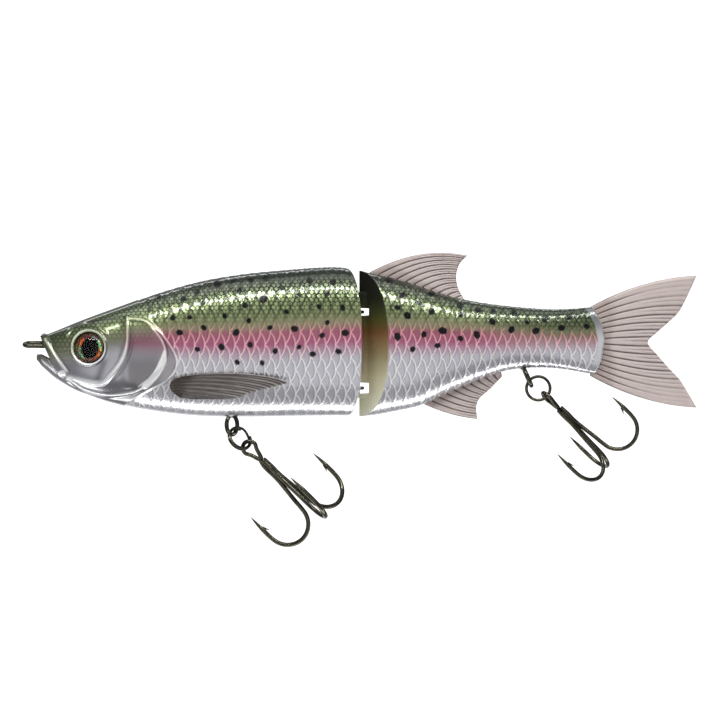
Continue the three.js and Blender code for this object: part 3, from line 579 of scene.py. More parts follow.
def front_shell(side, word):
    """Half of the front segment's painted skin, with the open mouth and the hollow joint face."""
    columns, rows, face_rows = 214, 380, 26
    angle = even_angles(columns)
    end = np.full(columns, 88.0)
    for _ in range(4):
        end = GROOVE_X + GROOVE_SLOPE * np.abs(body_points(end, angle, side)[:, 1])
    share = np.linspace(0, 1, rows)[:, None]
    x = 1.6 + (end[None] - 1.6) * share
    form = body_points(x, np.broadcast_to(angle, x.shape), side)
    raised, facts = relief_skin(form, side, rise(end[None] - x, 0.1, 0.5))
    edge = raised[-1]
    q = (1 - np.linspace(0, 1, face_rows + 1)[1:])[:, None]
    y = edge[None, :, 1] * q
    face = np.stack([GROOVE_X + GROOVE_SLOPE * np.abs(y), y, np.broadcast_to(edge[:, 2], y.shape)], axis=-1)
    verts = np.concatenate([raised, face])
    facts = stacked(facts, face_rows)
    faces = grid_faces(rows + face_rows, columns, flip=side < 0)
    slots = np.repeat(np.arange(rows + face_rows - 1) >= rows - 1, columns - 1)
    centre = verts.reshape(-1, 3)[faces].mean(axis=1)
    kept = ~in_mouth(centre[:, 0], centre[:, 2])
    verts = verts.reshape(-1, 3)
    drawn_to_mouth(verts)
    return add_mesh(f"skin_front_{word}", verts, faces[kept], facts, slots[kept])


def rear_shell(side, word):
    """Half of the rear segment's painted skin, with the wedge of the joint and the tail's rim."""
    columns, rows, face_rows, cap_rows = 196, 290, 40, 8
    angle = even_angles(columns)
    start = np.full(columns, 92.0)
    for _ in range(6):
        start = WEDGE_X + WEDGE_SLOPE * np.abs(body_points(start, angle, side)[:, 1])
    heights, ends = np.array(TAIL_END).T
    end = np.full(columns, 153.0)
    for _ in range(3):
        end = np.interp(body_points(end, angle, side)[:, 2], heights, ends)
    share = np.linspace(0, 1, rows)[:, None]
    x = start[None] + (end - start)[None] * share
    form = body_points(x, np.broadcast_to(angle, x.shape), side)
    smooth_end = rise(end[None] - x, 1.4, 1.8) * rise(x - start[None], 0.1, 0.5)
    raised, facts = relief_skin(form, side, smooth_end)
    facts["rim"] = rise(1.9 - (end[None] - x), 0, 0.4)
    wedge = wedge_face(raised[0], face_rows)
    q = (1 - np.linspace(0, 1, cap_rows + 1)[1:])[:, None]
    tip = raised[-1]
    cap_y = tip[None, :, 1] * (0.3 + 0.7 * q)
    cap_x = tip[None, :, 0] + 0.35 * np.sqrt(1 - q**2)
    cap = np.stack([cap_x, cap_y, np.broadcast_to(tip[:, 2], cap_y.shape)], axis=-1)
    verts = np.concatenate([wedge, raised, cap])
    rim = facts["rim"]
    facts = stacked(stacked(facts, face_rows, before=True), cap_rows)
    facts["rim"] = np.vstack([np.zeros((face_rows, columns)), rim, np.ones((cap_rows, columns))])
    total = face_rows + rows + cap_rows
    slots = np.repeat(np.arange(total - 1) < face_rows, columns - 1)
    return add_mesh(f"skin_rear_{word}", verts, grid_faces(total, columns, flip=side < 0), facts, slots)


def wedge_face(edge, rows):
    """The wedge's face, from its ridge to the skin's edge, with the knuckle and the two notches."""
    q = np.linspace(0, 1, rows + 1)[:-1, None] ** 1.25
    y = edge[None, :, 1] * q
    z = np.broadcast_to(edge[:, 2], y.shape)
    x = WEDGE_X + WEDGE_SLOPE * np.abs(y)
    x = np.minimum(x, edge[None, :, 0])
    barrel = PIN_X - np.sqrt(np.clip(KNUCKLE_RADIUS**2 - y**2, 0, None))
    beside = (np.abs(y) < KNUCKLE_RADIUS) & (z > KNUCKLE_LOW) & (z < KNUCKLE_HIGH)
    x = np.where(beside, np.minimum(x, barrel), x)
    for low, high in NOTCHES:
        x = np.where((z > low) & (z < high), np.maximum(x, NOTCH_BACK), x)
    return np.stack([x, y, z], axis=-1)


def mouth_lining():
    """The walls of the open mouth: the upper jaw's front and the lower jaw's top."""
    line = smooth_path(MOUTH[:6], 60)
    across = np.linspace(-1, 1, 9)
    reach = np.maximum(flank_at(np.maximum(line[:, 0], 1.9), line[:, 1]) - 0.25, 0.3)
    verts = [[(p[0] + 0.1, r * a, p[1]) for a in across] for p, r in zip(line, reach)]
    return add_mesh("mouth_lining", verts, grid_faces(len(line), len(across)))


# ---------- fins ----------

def fin_patch(root, edge, bulge, thickness, rays, centre_y, count=(70, 240), fade=0.0, swell=1.0):
    """A rayed fin between a root line and a free edge, as a closed sheet.

    bulge moves the rays' middles up (by a function of the way from the first ray to the last),
    thickness is (at the root, at the edge), and centre_y places the sheet's middle surface.
    """
    along, across = count
    u = np.linspace(0, 1, along)[:, None]
    v = np.linspace(0, 1, across)[None]
    start = smooth_path(root, across)[None]
    finish = smooth_path(edge, across)[None]
    flat = start + (finish - start) * u[..., None]
    x = flat[..., 0] + 0 * v
    z = flat[..., 1] + bulge(v) * (4 * u * (1 - u)) ** swell
    ray = 1 - 2 * np.exp(-((np.sin(math.pi * rays * v) / 0.42) ** 2)) + 0 * u
    split = 1 - 2 * np.exp(-((np.sin(math.pi * rays * (v + 0.5 / rays)) / 0.3) ** 2)) + 0 * u
    ridges = ray * (1 - 0.25 * rise(u, 0.6, 0.95)) - 0.55 * (1 - split) * rise(u, 0.35, 0.75)
    outer = fade * rise(np.abs(1 - 2 * v), 0.45, 0.9) * rise(u, 0.15, 0.6)
    ridges = ridges * (1 - 0.65 * outer) + 0.5 * outer
    border = rise(v, 0, 0.02) * rise(1 - v, 0, 0.02)
    border = border * (0.35 + 0.65 * rise(1 - u, 0, 0.03))
    wave = 0.13 * ridges * rise(u, 0.0, 0.08)
    half = border * ((thickness[0] + (thickness[1] - thickness[0]) * u) / 2 + wave)
    middle = centre_y(x, z, u)
    front = np.stack([x, middle - half, z], axis=-1)
    back = np.stack([x, middle + half, z], axis=-1)[::-1]
    verts = np.concatenate([front, back])
    groove = np.concatenate([ridges, ridges[::-1]])
    reach = np.concatenate([u + 0 * v, (u + 0 * v)[::-1]])
    return verts, {"ray": groove, "reach": reach}


def fin(name, root, edge, bulge, thickness, rays, fade=0.0):
    """A rayed fin in the lure's middle plane."""
    verts, facts = fin_patch(root, edge, bulge, thickness, rays, lambda x, z, u: 0 * x, fade=fade)
    rows, columns = verts.shape[:2]
    return add_mesh(name, verts, grid_faces(rows, columns, wrap_rows=True), facts)


def pectoral_fin(side, word):
    """A swept side fin that stands off the flank, with two low swellings at its root."""

    def stand_off(x, z, u):
        lift = 0.75 + 1.6 * np.clip((x - 38) / 32, 0, 1) ** 1.3
        return side * (flank_at(x, z) + lift)

    def bulge(v):
        return 2.3 * (1 - v) ** 1.5 - 0.4 * v

    verts, facts = fin_patch(
        PECTORAL_ROOT, PECTORAL_EDGE, bulge, (1.5, 0.5), 9, stand_off, (90, 150), swell=0.6
    )
    for x, z, radius in ((41.6, -10.9, 1.7), (42.8, -13.2, 1.3)):
        lobe = np.exp(-((np.hypot(verts[..., 0] - x, verts[..., 2] - z) / radius) ** 4))
        verts[..., 1] += side * 0.6 * lobe
    rows, columns = verts.shape[:2]
    return add_mesh(f"fin_pectoral_{word}", verts, grid_faces(rows, columns, wrap_rows=True), facts)


# ---------- hooks, rings and wire eyes ----------

class Rig:
    """How one treble hangs: its hanger's loop, its split ring and its shank, as in the CAD."""

    def __init__(self, loop, down, ring_normal, lead, roll, size):
        self.loop = np.array(loop, float)
        self.down = np.array(down, float)
        self.ring_normal = np.array(ring_normal, float)
        slide = math.asin(-self.ring_normal.dot(self.down))
        side = self.ring_normal - self.down * self.ring_normal.dot(self.down)
        self.side = side / np.linalg.norm(side)
        hang = self.loop + HANGER_LOOP * (math.sin(slide) * self.side + math.cos(slide) * self.down)
        self.ring = hang + RING_HANG * np.array(lead)
        self.shank = np.array([math.cos(DROOP), 0, -math.sin(DROOP)])
        forward = np.array([-math.sin(DROOP), 0, -math.cos(DROOP)])
        self.hook = self.ring + RING_RADIUS * self.shank
        self.eye_side = forward * math.cos(roll) + np.array([0, math.sin(roll), 0])
        self.across = np.cross(self.shank, self.eye_side)
        self.size = size

    def at(self, azimuth, outward, downward):
        """A place on the treble, from its angle about the shank and its distances out and down."""
        turned = self.eye_side * math.cos(azimuth) + self.across * math.sin(azimuth)
        return self.hook + outward * turned + downward * self.shank


def front_rig():
    """The front treble, whose ring is turned 45 degrees about the shank."""
    tilt = math.radians(45)
    normal = (math.sin(tilt) * math.sin(DROOP), -math.cos(tilt), math.sin(tilt) * math.cos(DROOP))
    lead = (math.cos(DROOP), 0, -math.sin(DROOP))
    return Rig((54.5, 0, -21.8), (0, 0, -1), normal, lead, math.radians(20), 1)


def rear_rig():
    """The rear treble, whose ring lies flat in the side view."""
    droop, lean = math.radians(21), math.radians(24)
    down = (math.sin(lean), 0, -math.cos(lean))
    lead = (math.cos(droop), 0, -math.sin(droop))
    return Rig((134.6, 0, -8.8), down, (0, -1, 0), lead, math.radians(76), 0.9)


def hanger_eye(rig, name):
    """The closed eye that the split ring hangs on, and the stem that turns in the barrel."""
    angles = np.linspace(0, 2 * math.pi, 24, endpoint=False)
    loop = [rig.loop + HANGER_LOOP * (math.sin(a) * rig.side + math.cos(a) * rig.down) for a in angles]
    ring = wire(name, loop, HANGER_WIRE, closed=True, steps=120)
    stem_points = [rig.loop - rig.down * d for d in (HANGER_LOOP - 0.1, 4.2, 5.6)]
    stem = wire(name + "_stem", stem_points, lambda t: 0.6 + 0.35 * rise(1 - t, 0.75, 1), steps=24)
    return joined(name, [ring, stem])


def split_ring(rig, name):
    """Two coils of wire that lie together, with one step over and two blunt ends."""
    step, steps, sides = math.radians(28), 300, 12
    across = np.cross(rig.ring_normal, rig.shank)
    angle = np.linspace(step, 4 * math.pi - step, steps)
    over = rise(angle, 2 * math.pi - step, 2 * math.pi + step) - 0.5
    turn = angle + math.pi / 2
    outward = np.cos(turn)[:, None] * rig.shank + np.sin(turn)[:, None] * across
    centre = rig.ring + RING_RADIUS * outward + RING_PITCH * over[:, None] * rig.ring_normal
    around = np.linspace(0, 2 * math.pi, sides, endpoint=False)
    verts = (
        centre[:, None]
        + RING_THICK * np.cos(around)[None, :, None] * outward[:, None]
        + RING_DEEP * np.sin(around)[None, :, None] * rig.ring_normal
    )
    faces = grid_faces(steps, sides, wrap_columns=True)
    return add_mesh(name, *with_end_caps(verts, faces, centre))


def bend_line(start):
    """One hook as (outward, downward) pairs, from its shank round the bend to its point."""
    line = list(start) + [(1.6, 18.6)]
    for degrees in np.arange(180, 361, 22.5):
        a = math.radians(degrees)
        line.append((BEND_OUT + BEND_RADIUS * math.cos(a), BEND_DOWN - BEND_RADIUS * math.sin(a)))
    far = BEND_OUT + BEND_RADIUS
    return line + [(far + 0.05, 18.5), (far, 16), (far - 0.15, POINT_DOWN)]


def hook(rig, name, azimuth, start):
    """One hook with a ground point, and its barb."""
    line = bend_line(start)
    points = [rig.at(azimuth, o * rig.size, d * rig.size) for o, d in line]
    radius = HOOK_WIRE * rig.size
    needle = wire(name, points, lambda t: radius * np.clip((1 - t) / 0.11, 0.01, 1) ** 0.7, steps=240)
    outward, top, foot = 13.9 * rig.size, 18.2 * rig.size, 20.0 * rig.size
    barb = wire(
        name + "_barb",
        [rig.at(azimuth, outward, top), rig.at(azimuth, outward - 0.45, (top + foot) / 2),
         rig.at(azimuth, outward - 0.95, foot)],
        lambda t: 0.4 * (1 - 0.85 * t),
        steps=14,
    )
    return [needle, barb]


def eyed_hook(rig, name):
    """The hook whose wire is bent round into the treble's eye."""
    parts = hook(rig, name, 0, [(0.1, SHANK_TOP), (HOOK_SPREAD, 7), (HOOK_SPREAD, 12)])
    middle, foot = HOOK_EYE_TOP + HOOK_EYE, SHANK_TOP * rig.size
    eye = []
    for degrees in range(-100, 101, 25):
        a = math.radians(degrees)
        eye.append((HOOK_EYE * math.sin(a), middle - HOOK_EYE * math.cos(a)))
    eye += [(1.2, middle + 1.6), (0.45, foot), (0, foot + 0.35), (-0.45, foot), (-1.2, middle + 1.6)]
    loop = wire(name + "_eye", [rig.at(0, o, d) for o, d in eye], HOOK_EYE_WIRE, closed=True, steps=130)
    return joined(name, parts + [loop])


def twin_hooks(rig, name):
    """The pair of hooks at the eyed one's side, and the braze along the seam."""
    parts = []
    for azimuth in (120, 240):
        start = [(0.7, 5.2), (HOOK_SPREAD, 8), (HOOK_SPREAD, 12)]
        parts += hook(rig, f"{name}_{azimuth}", math.radians(azimuth), start)
    seam = [rig.at(math.radians(180), 0.45 * rig.size, d * rig.size) for d in (6.4, 9, 12.6, 15.6)]
    parts.append(wire(name + "_braze", seam, lambda t: 0.36 * (1 - 0.4 * t), steps=30))
    return joined(name, parts)


def stadium(front, back, radius, height=0.0, roll=0.0):
    """A long closed loop of wire that lies flat, turned about the lure's long axis."""
    points = []
    for centre, first in ((front, 90), (back, 270)):
        for step in range(9):
            a = math.radians(first + step * 22.5)
            across = radius * math.sin(a)
            points.append((
                centre + radius * math.cos(a),
                across * math.cos(roll),
                height + across * math.sin(roll),
            ))
    return points


# ---------- eyes ----------

def eye_axes(side):
    """The eye's middle on the flank, and its outward, forward and upward directions."""
    step = 0.5
    dx = (flank_at(EYE_X + step, EYE_Z) - flank_at(EYE_X - step, EYE_Z)) / (2 * step)
    dz = (flank_at(EYE_X, EYE_Z + step) - flank_at(EYE_X, EYE_Z - step)) / (2 * step)
    out = np.array([-dx, side, -dz])
    out /= np.linalg.norm(out)
    up = np.array([0, 0, 1.0]) - out * out[2]
    up /= np.linalg.norm(up)
    forward = np.cross(up, out)
    return np.array([EYE_X, side * flank_at(EYE_X, EYE_Z), EYE_Z]), out, forward, up


def eye_dish(name, side, radii, height_at):
    """A round sheet across the eye, at a height that depends on the distance from the middle."""
    centre, out, forward, up = eye_axes(side)
    rings, sides = len(radii), 72
    angle = np.linspace(0, 2 * math.pi, sides, endpoint=False)
    r = np.array(radii)[:, None]
    a, b = r * np.cos(angle), r * np.sin(angle)
    lift = height_at(r) + 0 * a
    verts = centre + a[..., None] * forward + b[..., None] * up + lift[..., None] * out
    facts = {"eye_a": a, "eye_b": b}
    return add_mesh(name, verts, grid_faces(rings, sides, wrap_columns=True, flip=side > 0), facts)


def eye_disc(side, word):
    """The foil, slightly dished, with a turned-up rim round it."""
    radii = np.concatenate([[0.01], np.linspace(0.3, 3.95, 24), [3.97]])

    def depth(r):
        return -1.0 + 0.12 * (r / 4) ** 2 + 0.7 * rise(r, 3.95, 3.97)

    return eye_dish(f"eye_foil_{word}", side, radii, depth)


def eye_lens(side, word):
    """A dome with a flat underside, just over the foil."""
    radii = np.concatenate([[0.01], np.linspace(0.3, 3.96, 22), [3.98, 3.96], np.linspace(3.6, 0.01, 5)])
    rank = np.arange(len(radii))[:, None]
    dome = -0.55 + 1.3 * (1 - (radii[:, None] / 4) ** 2.2)
    flat = np.full_like(dome, -0.84)
    return eye_dish(f"eye_dome_{word}", side, radii, lambda r: np.where(rank < 24, dome, flat))


# ---------- materials ----------

class Nodes:
    """A material's node tree, with one short call for each kind of node."""

    def __init__(self, name):
        self.material = bpy.data.materials.new(name)
        self.material.use_nodes = True
        self.tree = self.material.node_tree
        self.shader = self.tree.nodes["Principled BSDF"]
        self.output = self.tree.nodes["Material Output"]

    def link(self, source, target):
        self.tree.links.new(source, target)

    def add(self, kind, **settings):
        node = self.tree.nodes.new(kind)
        for key, value in settings.items():
            setattr(node, key, value)
        return node

    def fact(self, name):
        """A value that add_mesh has stored on the mesh's points."""
        return self.add("ShaderNodeAttribute", attribute_name=name).outputs["Fac"]

    def place(self):
        return self.add("ShaderNodeTexCoord").outputs["Object"]

    def math(self, operation, *values, clamp=False):
        node = self.add("ShaderNodeMath", operation=operation, use_clamp=clamp)
        for socket, value in zip(node.inputs, values):
            if isinstance(value, (int, float)):
                socket.default_value = value
            else:
                self.link(value, socket)
        return node.outputs[0]

    def times(self, a, b):
        return self.math("MULTIPLY", a, b)

    def plus(self, a, b):
        return self.math("ADD", a, b)

    def noise(self, scale, detail=3.0):
        """Soft noise from 0 to 1. A higher scale is finer."""
        node = self.add("ShaderNodeTexNoise")
        node.inputs["Scale"].default_value = scale
        node.inputs["Detail"].default_value = detail
        node.inputs["Roughness"].default_value = 0.5
        self.link(self.place(), node.inputs["Vector"])
        return node.outputs["Fac"]

    def ramp(self, value, stops, low=0.0, high=1.0):
        """Colours at stops that run from low to high."""
        scaled = self.add("ShaderNodeMapRange", clamp=True)
        scaled.inputs["From Min"].default_value = low
        scaled.inputs["From Max"].default_value = high
        self.link(value, scaled.inputs["Value"])
        node = self.add("ShaderNodeValToRGB")
        elements = node.color_ramp.elements
        while len(elements) < len(stops):
            elements.new(0.5)
        for element, (at, colour) in zip(elements, sorted(stops)):
            element.position = (at - low) / (high - low)
            element.color = (*colour, 1)
        self.link(scaled.outputs["Result"], node.inputs["Fac"])
        return node.outputs["Color"]

    def mix(self, share, a, b, blend="MIX"):
        """b laid over a, by a share from 0 to 1."""
        node = self.add("ShaderNodeMix", data_type="RGBA", blend_type=blend)
        for socket, value in ((node.inputs["Factor"], share), (node.inputs["A"], a), (node.inputs["B"], b)):
            if isinstance(value, (int, float)):
                socket.default_value = value
            elif isinstance(value, tuple):
                socket.default_value = (*value, 1)
            else:
                self.link(value, socket)
        return next(s for s in node.outputs if s.type == "RGBA")

    def over(self, base, fact, share, colour, blend="MIX"):
        """Lays a colour over the base where a fact of the mesh is 1."""
        return self.mix(self.times(self.fact(fact), share), base, colour, blend)

    def bump(self, height, strength, distance_mm):
        """Fine relief of the whole surface, from a height that runs from 0 to 1."""
        node = self.add("ShaderNodeBump")
        node.inputs["Strength"].default_value = strength
        node.inputs["Distance"].default_value = distance_mm * MM
        self.link(height, node.inputs["Height"])
        self.drive("Normal", node.outputs["Normal"])

    def drive(self, name, value):
        """Links a value that varies over the surface to one of the shader's inputs."""
        self.link(value, self.shader.inputs[name])

    def set(self, **values):
        """Sets inputs of the shader that are the same all over the surface."""
        for key, value in values.items():
            self.shader.inputs[key.replace("_", " ")].default_value = value


def grey(level):
    return (level, level, level)


def hex_dots(n, along, around, pitch):
    """1 in the middle of each cell of a six-sided pattern, falling to 0 at its border."""
    waves = []
    for degrees in (30, 90, 150):
        a, k = math.radians(degrees), 4 * math.pi / (math.sqrt(3) * pitch)
        x_run = n.times(along, k * math.cos(a))
        y_run = n.times(around, k * math.sin(a))
        waves.append(n.math("COSINE", n.plus(x_run, y_run)))
    total = n.plus(n.plus(waves[0], waves[1]), waves[2])
    return n.math("DIVIDE", n.plus(total, 1.5), 4.5)


def across_bands(n, stops, height=None):
    """Colours by the height over the pink stripe's middle, counted in half stripes."""
    return n.ramp(height or n.fact("band"), stops, -5, 5)


def paint():
    """Trout paint over chrome: silver flanks, a pink stripe, green back with pale cells, black spots."""
    n = Nodes("trout_paint")
    along, around = n.fact("along"), n.fact("around")
    grain, cloud = n.noise(2400, 2), n.noise(260, 3)
    band = n.plus(n.fact("band"), n.times(n.math("SUBTRACT", grain, 0.5), 0.7))
    chrome, green = (0.56, 0.555, 0.6), (0.035, 0.065, 0.012)
    striped = across_bands(n, [
        (-5, (0.7, 0.7, 0.73)), (-1.6, chrome), (-1.05, (0.5, 0.38, 0.46)), (-0.35, (0.42, 0.11, 0.21)),
        (0.55, (0.37, 0.12, 0.17)), (1.1, (0.33, 0.28, 0.18)), (1.7, (0.2, 0.24, 0.1)),
        (2.4, (0.11, 0.15, 0.045)), (3.4, green), (4.4, (0.02, 0.035, 0.012)),
    ], band)
    plain = across_bands(n, [
        (-5, (0.7, 0.7, 0.73)), (-1.2, chrome), (-0.3, (0.4, 0.4, 0.36)), (0.6, (0.2, 0.24, 0.11)),
        (1.6, (0.09, 0.13, 0.03)), (3.4, green), (4.6, (0.02, 0.035, 0.012)),
    ], band)
    base = n.mix(n.fact("blush"), plain, striped)
    dots = hex_dots(n, along, around, CELL_PITCH)
    cells = n.ramp(dots, [(0.1, grey(0)), (0.3, grey(1))])
    lifted = n.plus(n.fact("band"), n.times(n.fact("head"), 0.9))
    on_back = across_bands(n, [(0.8, grey(0)), (1.6, grey(0.8)), (4.4, grey(0.75))], lifted)
    cell_colour = across_bands(n, [
        (0.9, (0.36, 0.35, 0.26)), (1.6, (0.34, 0.39, 0.22)), (3.0, (0.42, 0.5, 0.27)),
        (4.0, (0.4, 0.45, 0.3)), (4.8, (0.06, 0.07, 0.05)),
    ])
    base = n.mix(n.times(cells, on_back), base, cell_colour)
    base = n.mix(n.times(cloud, 0.3), base, grey(0.8), "MULTIPLY")
    # Painted dark reflection: below the stripe, the gill cover's chrome is darkened towards a dusty brown.
    low = across_bands(n, [(-0.5, grey(0.45)), (1.6, grey(0))])
    cover_dark_reflection = n.times(n.fact("head"), n.times(n.fact("blush"), low))
    base = n.mix(cover_dark_reflection, base, (0.3, 0.26, 0.25))
    # Painted dark reflection on the chrome of the cheek and the gill cover.
    base = n.over(base, "painted_dark_reflection", 0.85, (0.3, 0.29, 0.3), "MULTIPLY")
    base = n.over(base, "shade", 0.45, (0.35, 0.33, 0.33), "MULTIPLY")
    rib_colour = across_bands(n, [
        (-1.9, (0.97, 0.95, 0.92)), (-0.9, (0.95, 0.68, 0.7)), (0.3, (0.95, 0.42, 0.46)),
        (1.1, (0.5, 0.36, 0.22)), (1.6, (0.09, 0.08, 0.025)), (2.3, (0.012, 0.018, 0.006)),
    ])
    base = n.over(base, "rib", 0.9, rib_colour)
    base = n.over(base, "rim", 1.0, (0.62, 0.62, 0.64))
    base = n.over(base, "ridge", 0.75, (0.012, 0.018, 0.012))
    # Painted shade in the creases beside the head's raised edges.
    base = n.over(base, "crease", 0.85, (0.02, 0.02, 0.018))
    # Painted highlights on the head's raised edges.
    painted_highlight_colour = across_bands(n, [
        (-1.2, (0.95, 0.95, 0.94)), (-0.5, (0.95, 0.72, 0.74)), (0.8, (0.92, 0.6, 0.6)),
        (1.7, (0.7, 0.75, 0.45)),
    ])
    snout_highlight = across_bands(n, [(-0.8, (0.93, 0.94, 0.92)), (0.6, (0.7, 0.76, 0.55))])
    painted_highlight_colour = n.mix(n.fact("blush"), snout_highlight, painted_highlight_colour)
    base = n.over(base, "pale", 0.92, painted_highlight_colour)
    n.drive("Base Color", n.over(base, "spot", 1.0, (0.003, 0.003, 0.004)))
    metal = across_bands(n, [
        (-1.5, grey(0.8)), (0.2, grey(0.5)), (1.5, grey(0.45)), (3, grey(0.5)),
    ])
    lines = n.math("MAXIMUM", n.fact("rib"), n.fact("pale"))
    metal = n.mix(n.times(lines, 0.7), metal, grey(0.1))
    n.drive("Metallic", n.mix(n.fact("spot"), metal, grey(0)))
    n.drive("Roughness", n.plus(n.times(grain, 0.1), 0.2))
    n.drive("Coat Weight", n.math("SUBTRACT", 1.0, n.times(n.fact("spot"), 0.75)))
    n.set(Specular_IOR_Level=0.2, Coat_Roughness=0.03, Coat_IOR=1.36)
    dimples = n.times(n.times(dots, on_back), 0.2)
    n.bump(n.plus(n.times(grain, 0.08), dimples), 0.1, 0.06)
    return n.material


def joint_paint():
    """Sprayed matte paint on the faces of the joint, which follows the body's colours roughly."""
    n = Nodes("joint_face_paint")
    split = n.add("ShaderNodeSeparateXYZ")
    n.link(n.place(), split.inputs[0])
    speck, cloud = n.noise(3800, 2), n.noise(900, 3)
    height = n.plus(split.outputs["Z"], n.times(n.math("SUBTRACT", speck, 0.5), 0.007))
    base = n.ramp(height, [
        (-0.019, (0.75, 0.75, 0.62)), (-0.009, (0.6, 0.56, 0.38)), (-0.003, (0.36, 0.29, 0.16)),
        (0.001, (0.27, 0.16, 0.07)), (0.0035, (0.19, 0.09, 0.03)), (0.006, (0.1, 0.09, 0.02)),
        (0.0085, (0.05, 0.06, 0.015)), (0.012, (0.016, 0.018, 0.008)), (0.02, (0.006, 0.006, 0.006)),
    ], -0.02, 0.021)
    base = n.mix(n.times(cloud, 0.5), base, (0.7, 0.7, 0.65), "MULTIPLY")
    n.drive("Base Color", base)
    n.set(Roughness=0.5)
    n.bump(speck, 0.4, 0.06)
    return n.material


def soft_fin(name, ridge, groove, root, knee=-0.7, roughness=0.42):
    """Translucent soft plastic, with a groove colour between the rays and a ridge colour on them; where the
    grooves are darker, that is painted shade.
    """
    n = Nodes(name)
    ray = n.fact("ray")
    cloud = n.noise(420, 4)
    base = n.ramp(n.plus(ray, n.times(cloud, 0.5)), [
        (-1.2, groove), (knee, groove), (knee + 1.1, tuple(0.85 * c for c in ridge)), (1.4, ridge),
    ], -1.2, 1.4)
    near_root = n.ramp(n.fact("reach"), [(0, grey(0.9)), (0.16, grey(0.85)), (0.26, grey(0.0))])
    base = n.mix(near_root, base, root, "MULTIPLY")
    n.drive("Base Color", base)
    n.set(Roughness=roughness)
    glow = n.add("ShaderNodeBsdfTranslucent")
    n.link(base, glow.inputs["Color"])
    both = n.add("ShaderNodeMixShader")
    both.inputs[0].default_value = 0.25
    n.link(n.shader.outputs[0], both.inputs[1])
    n.link(glow.outputs[0], both.inputs[2])
    n.link(both.outputs[0], n.output.inputs["Surface"])
    n.bump(n.noise(900, 3), 0.35, 0.12)
    return n.material


def black_nickel():
    """Polished black nickel with a brown-olive cast, a little uneven as plated wire is."""
    n = Nodes("black_nickel_plate")
    cast = n.noise(260, 3)
    base = n.ramp(cast, [
        (0.35, (0.045, 0.047, 0.038)), (0.55, (0.1, 0.093, 0.065)), (0.75, (0.06, 0.065, 0.053)),
    ])
    n.drive("Base Color", base)
    n.drive("Roughness", n.plus(n.times(n.noise(700, 2), 0.14), 0.12))
    n.set(Metallic=1.0)
    n.bump(n.noise(1400, 2), 0.05, 0.006)
    return n.material


def drawn_steel(name="drawn_steel", tint=(0.55, 0.53, 0.49)):
    """Bare wire and turned metal, with fine lines and a dull patch here and there."""
    n = Nodes(name)
    lines = n.noise(3000, 2)
    base = n.mix(n.noise(500, 3), tint, tuple(0.7 * c for c in tint))
    n.drive("Base Color", base)
    n.drive("Roughness", n.plus(n.times(lines, 0.25), 0.15))
    n.set(Metallic=1.0)
    n.bump(lines, 0.2, 0.02)
    return n.material


def holographic_foil():
    """The iris: dark foil with flakes that flash orange, teal and red in a ring round an oval pupil."""
    n = Nodes("holographic_foil")
    a, b = n.fact("eye_a"), n.fact("eye_b")
    radius = n.math("SQRT", n.plus(n.times(a, a), n.times(b, b)))
    angle = n.math("ARCTAN2", b, a)
    spot = n.add("ShaderNodeCombineXYZ")
    n.link(a, spot.inputs[0])
    n.link(b, spot.inputs[1])
    flakes = n.add("ShaderNodeTexVoronoi")
    flakes.inputs["Scale"].default_value = 1.7
    n.link(spot.outputs[0], flakes.inputs["Vector"])
    tone = n.add("ShaderNodeSeparateColor")
    n.link(flakes.outputs["Color"], tone.inputs[0])
    hue = n.times(tone.outputs[0], 0.55)
    hue = n.math("FRACT", n.plus(hue, n.times(angle, 0.32)))
    rainbow = n.ramp(hue, [
        (0.0, (1.0, 0.05, 0.02)), (0.18, (1.0, 0.36, 0.02)), (0.34, (1.0, 0.8, 0.1)), (0.5, (0.05, 0.9, 0.5)),
        (0.66, (0.02, 0.7, 0.85)), (0.82, (0.5, 0.04, 0.05)), (1.0, (0.9, 0.06, 0.02)),
    ])
    # Painted glints: the flakes are painted brighter to the left and right of the pupil.
    bright = n.plus(n.times(n.math("ABSOLUTE", n.math("COSINE", angle)), 0.75), 0.3)
    base = n.mix(n.math("MULTIPLY", bright, tone.outputs[1], clamp=True), (0.05, 0.02, 0.012), rainbow)
    rings = n.ramp(radius, [
        (2.6, grey(0)), (2.9, grey(0.9)), (3.05, grey(0.1)), (3.3, grey(0)), (3.55, grey(0.9)),
    ], 0, 4)
    base = n.mix(rings, base, (0.07, 0.03, 0.018))
    across = n.math("POWER", n.math("DIVIDE", a, 2.6), 2)
    upright = n.math("POWER", n.math("DIVIDE", b, 2.95), 2)
    oval = n.math("SQRT", n.plus(across, upright))
    pupil = n.math("LESS_THAN", oval, 1.0)
    base = n.mix(pupil, base, (0.002, 0.002, 0.002))
    n.drive("Base Color", base)
    n.drive("Metallic", n.times(n.math("SUBTRACT", 1.0, pupil), 0.25))
    n.set(Roughness=0.35, Specular_IOR_Level=0.0)
    n.bump(flakes.outputs["Distance"], 0.3, 0.1)
    return n.material


def clear_resin():
    """The clear dome over the eye."""
    n = Nodes("clear_resin")
    tint = n.mix(n.noise(220, 2), (0.96, 0.98, 0.96), (1.0, 1.0, 1.0))
    n.drive("Base Color", tint)
    n.set(Transmission_Weight=1.0, IOR=1.2, Roughness=0.0)
    return n.material


def mouth_paint():
    """Thin, dull paint inside the mouth."""
    n = Nodes("mouth_paint")
    base = n.ramp(n.noise(700, 3), [(0.3, (0.22, 0.25, 0.17)), (0.7, (0.42, 0.44, 0.36))])
    n.drive("Base Color", base)
    n.set(Roughness=0.4, Metallic=0.3)
    return n.material


# ---------- the studio ----------

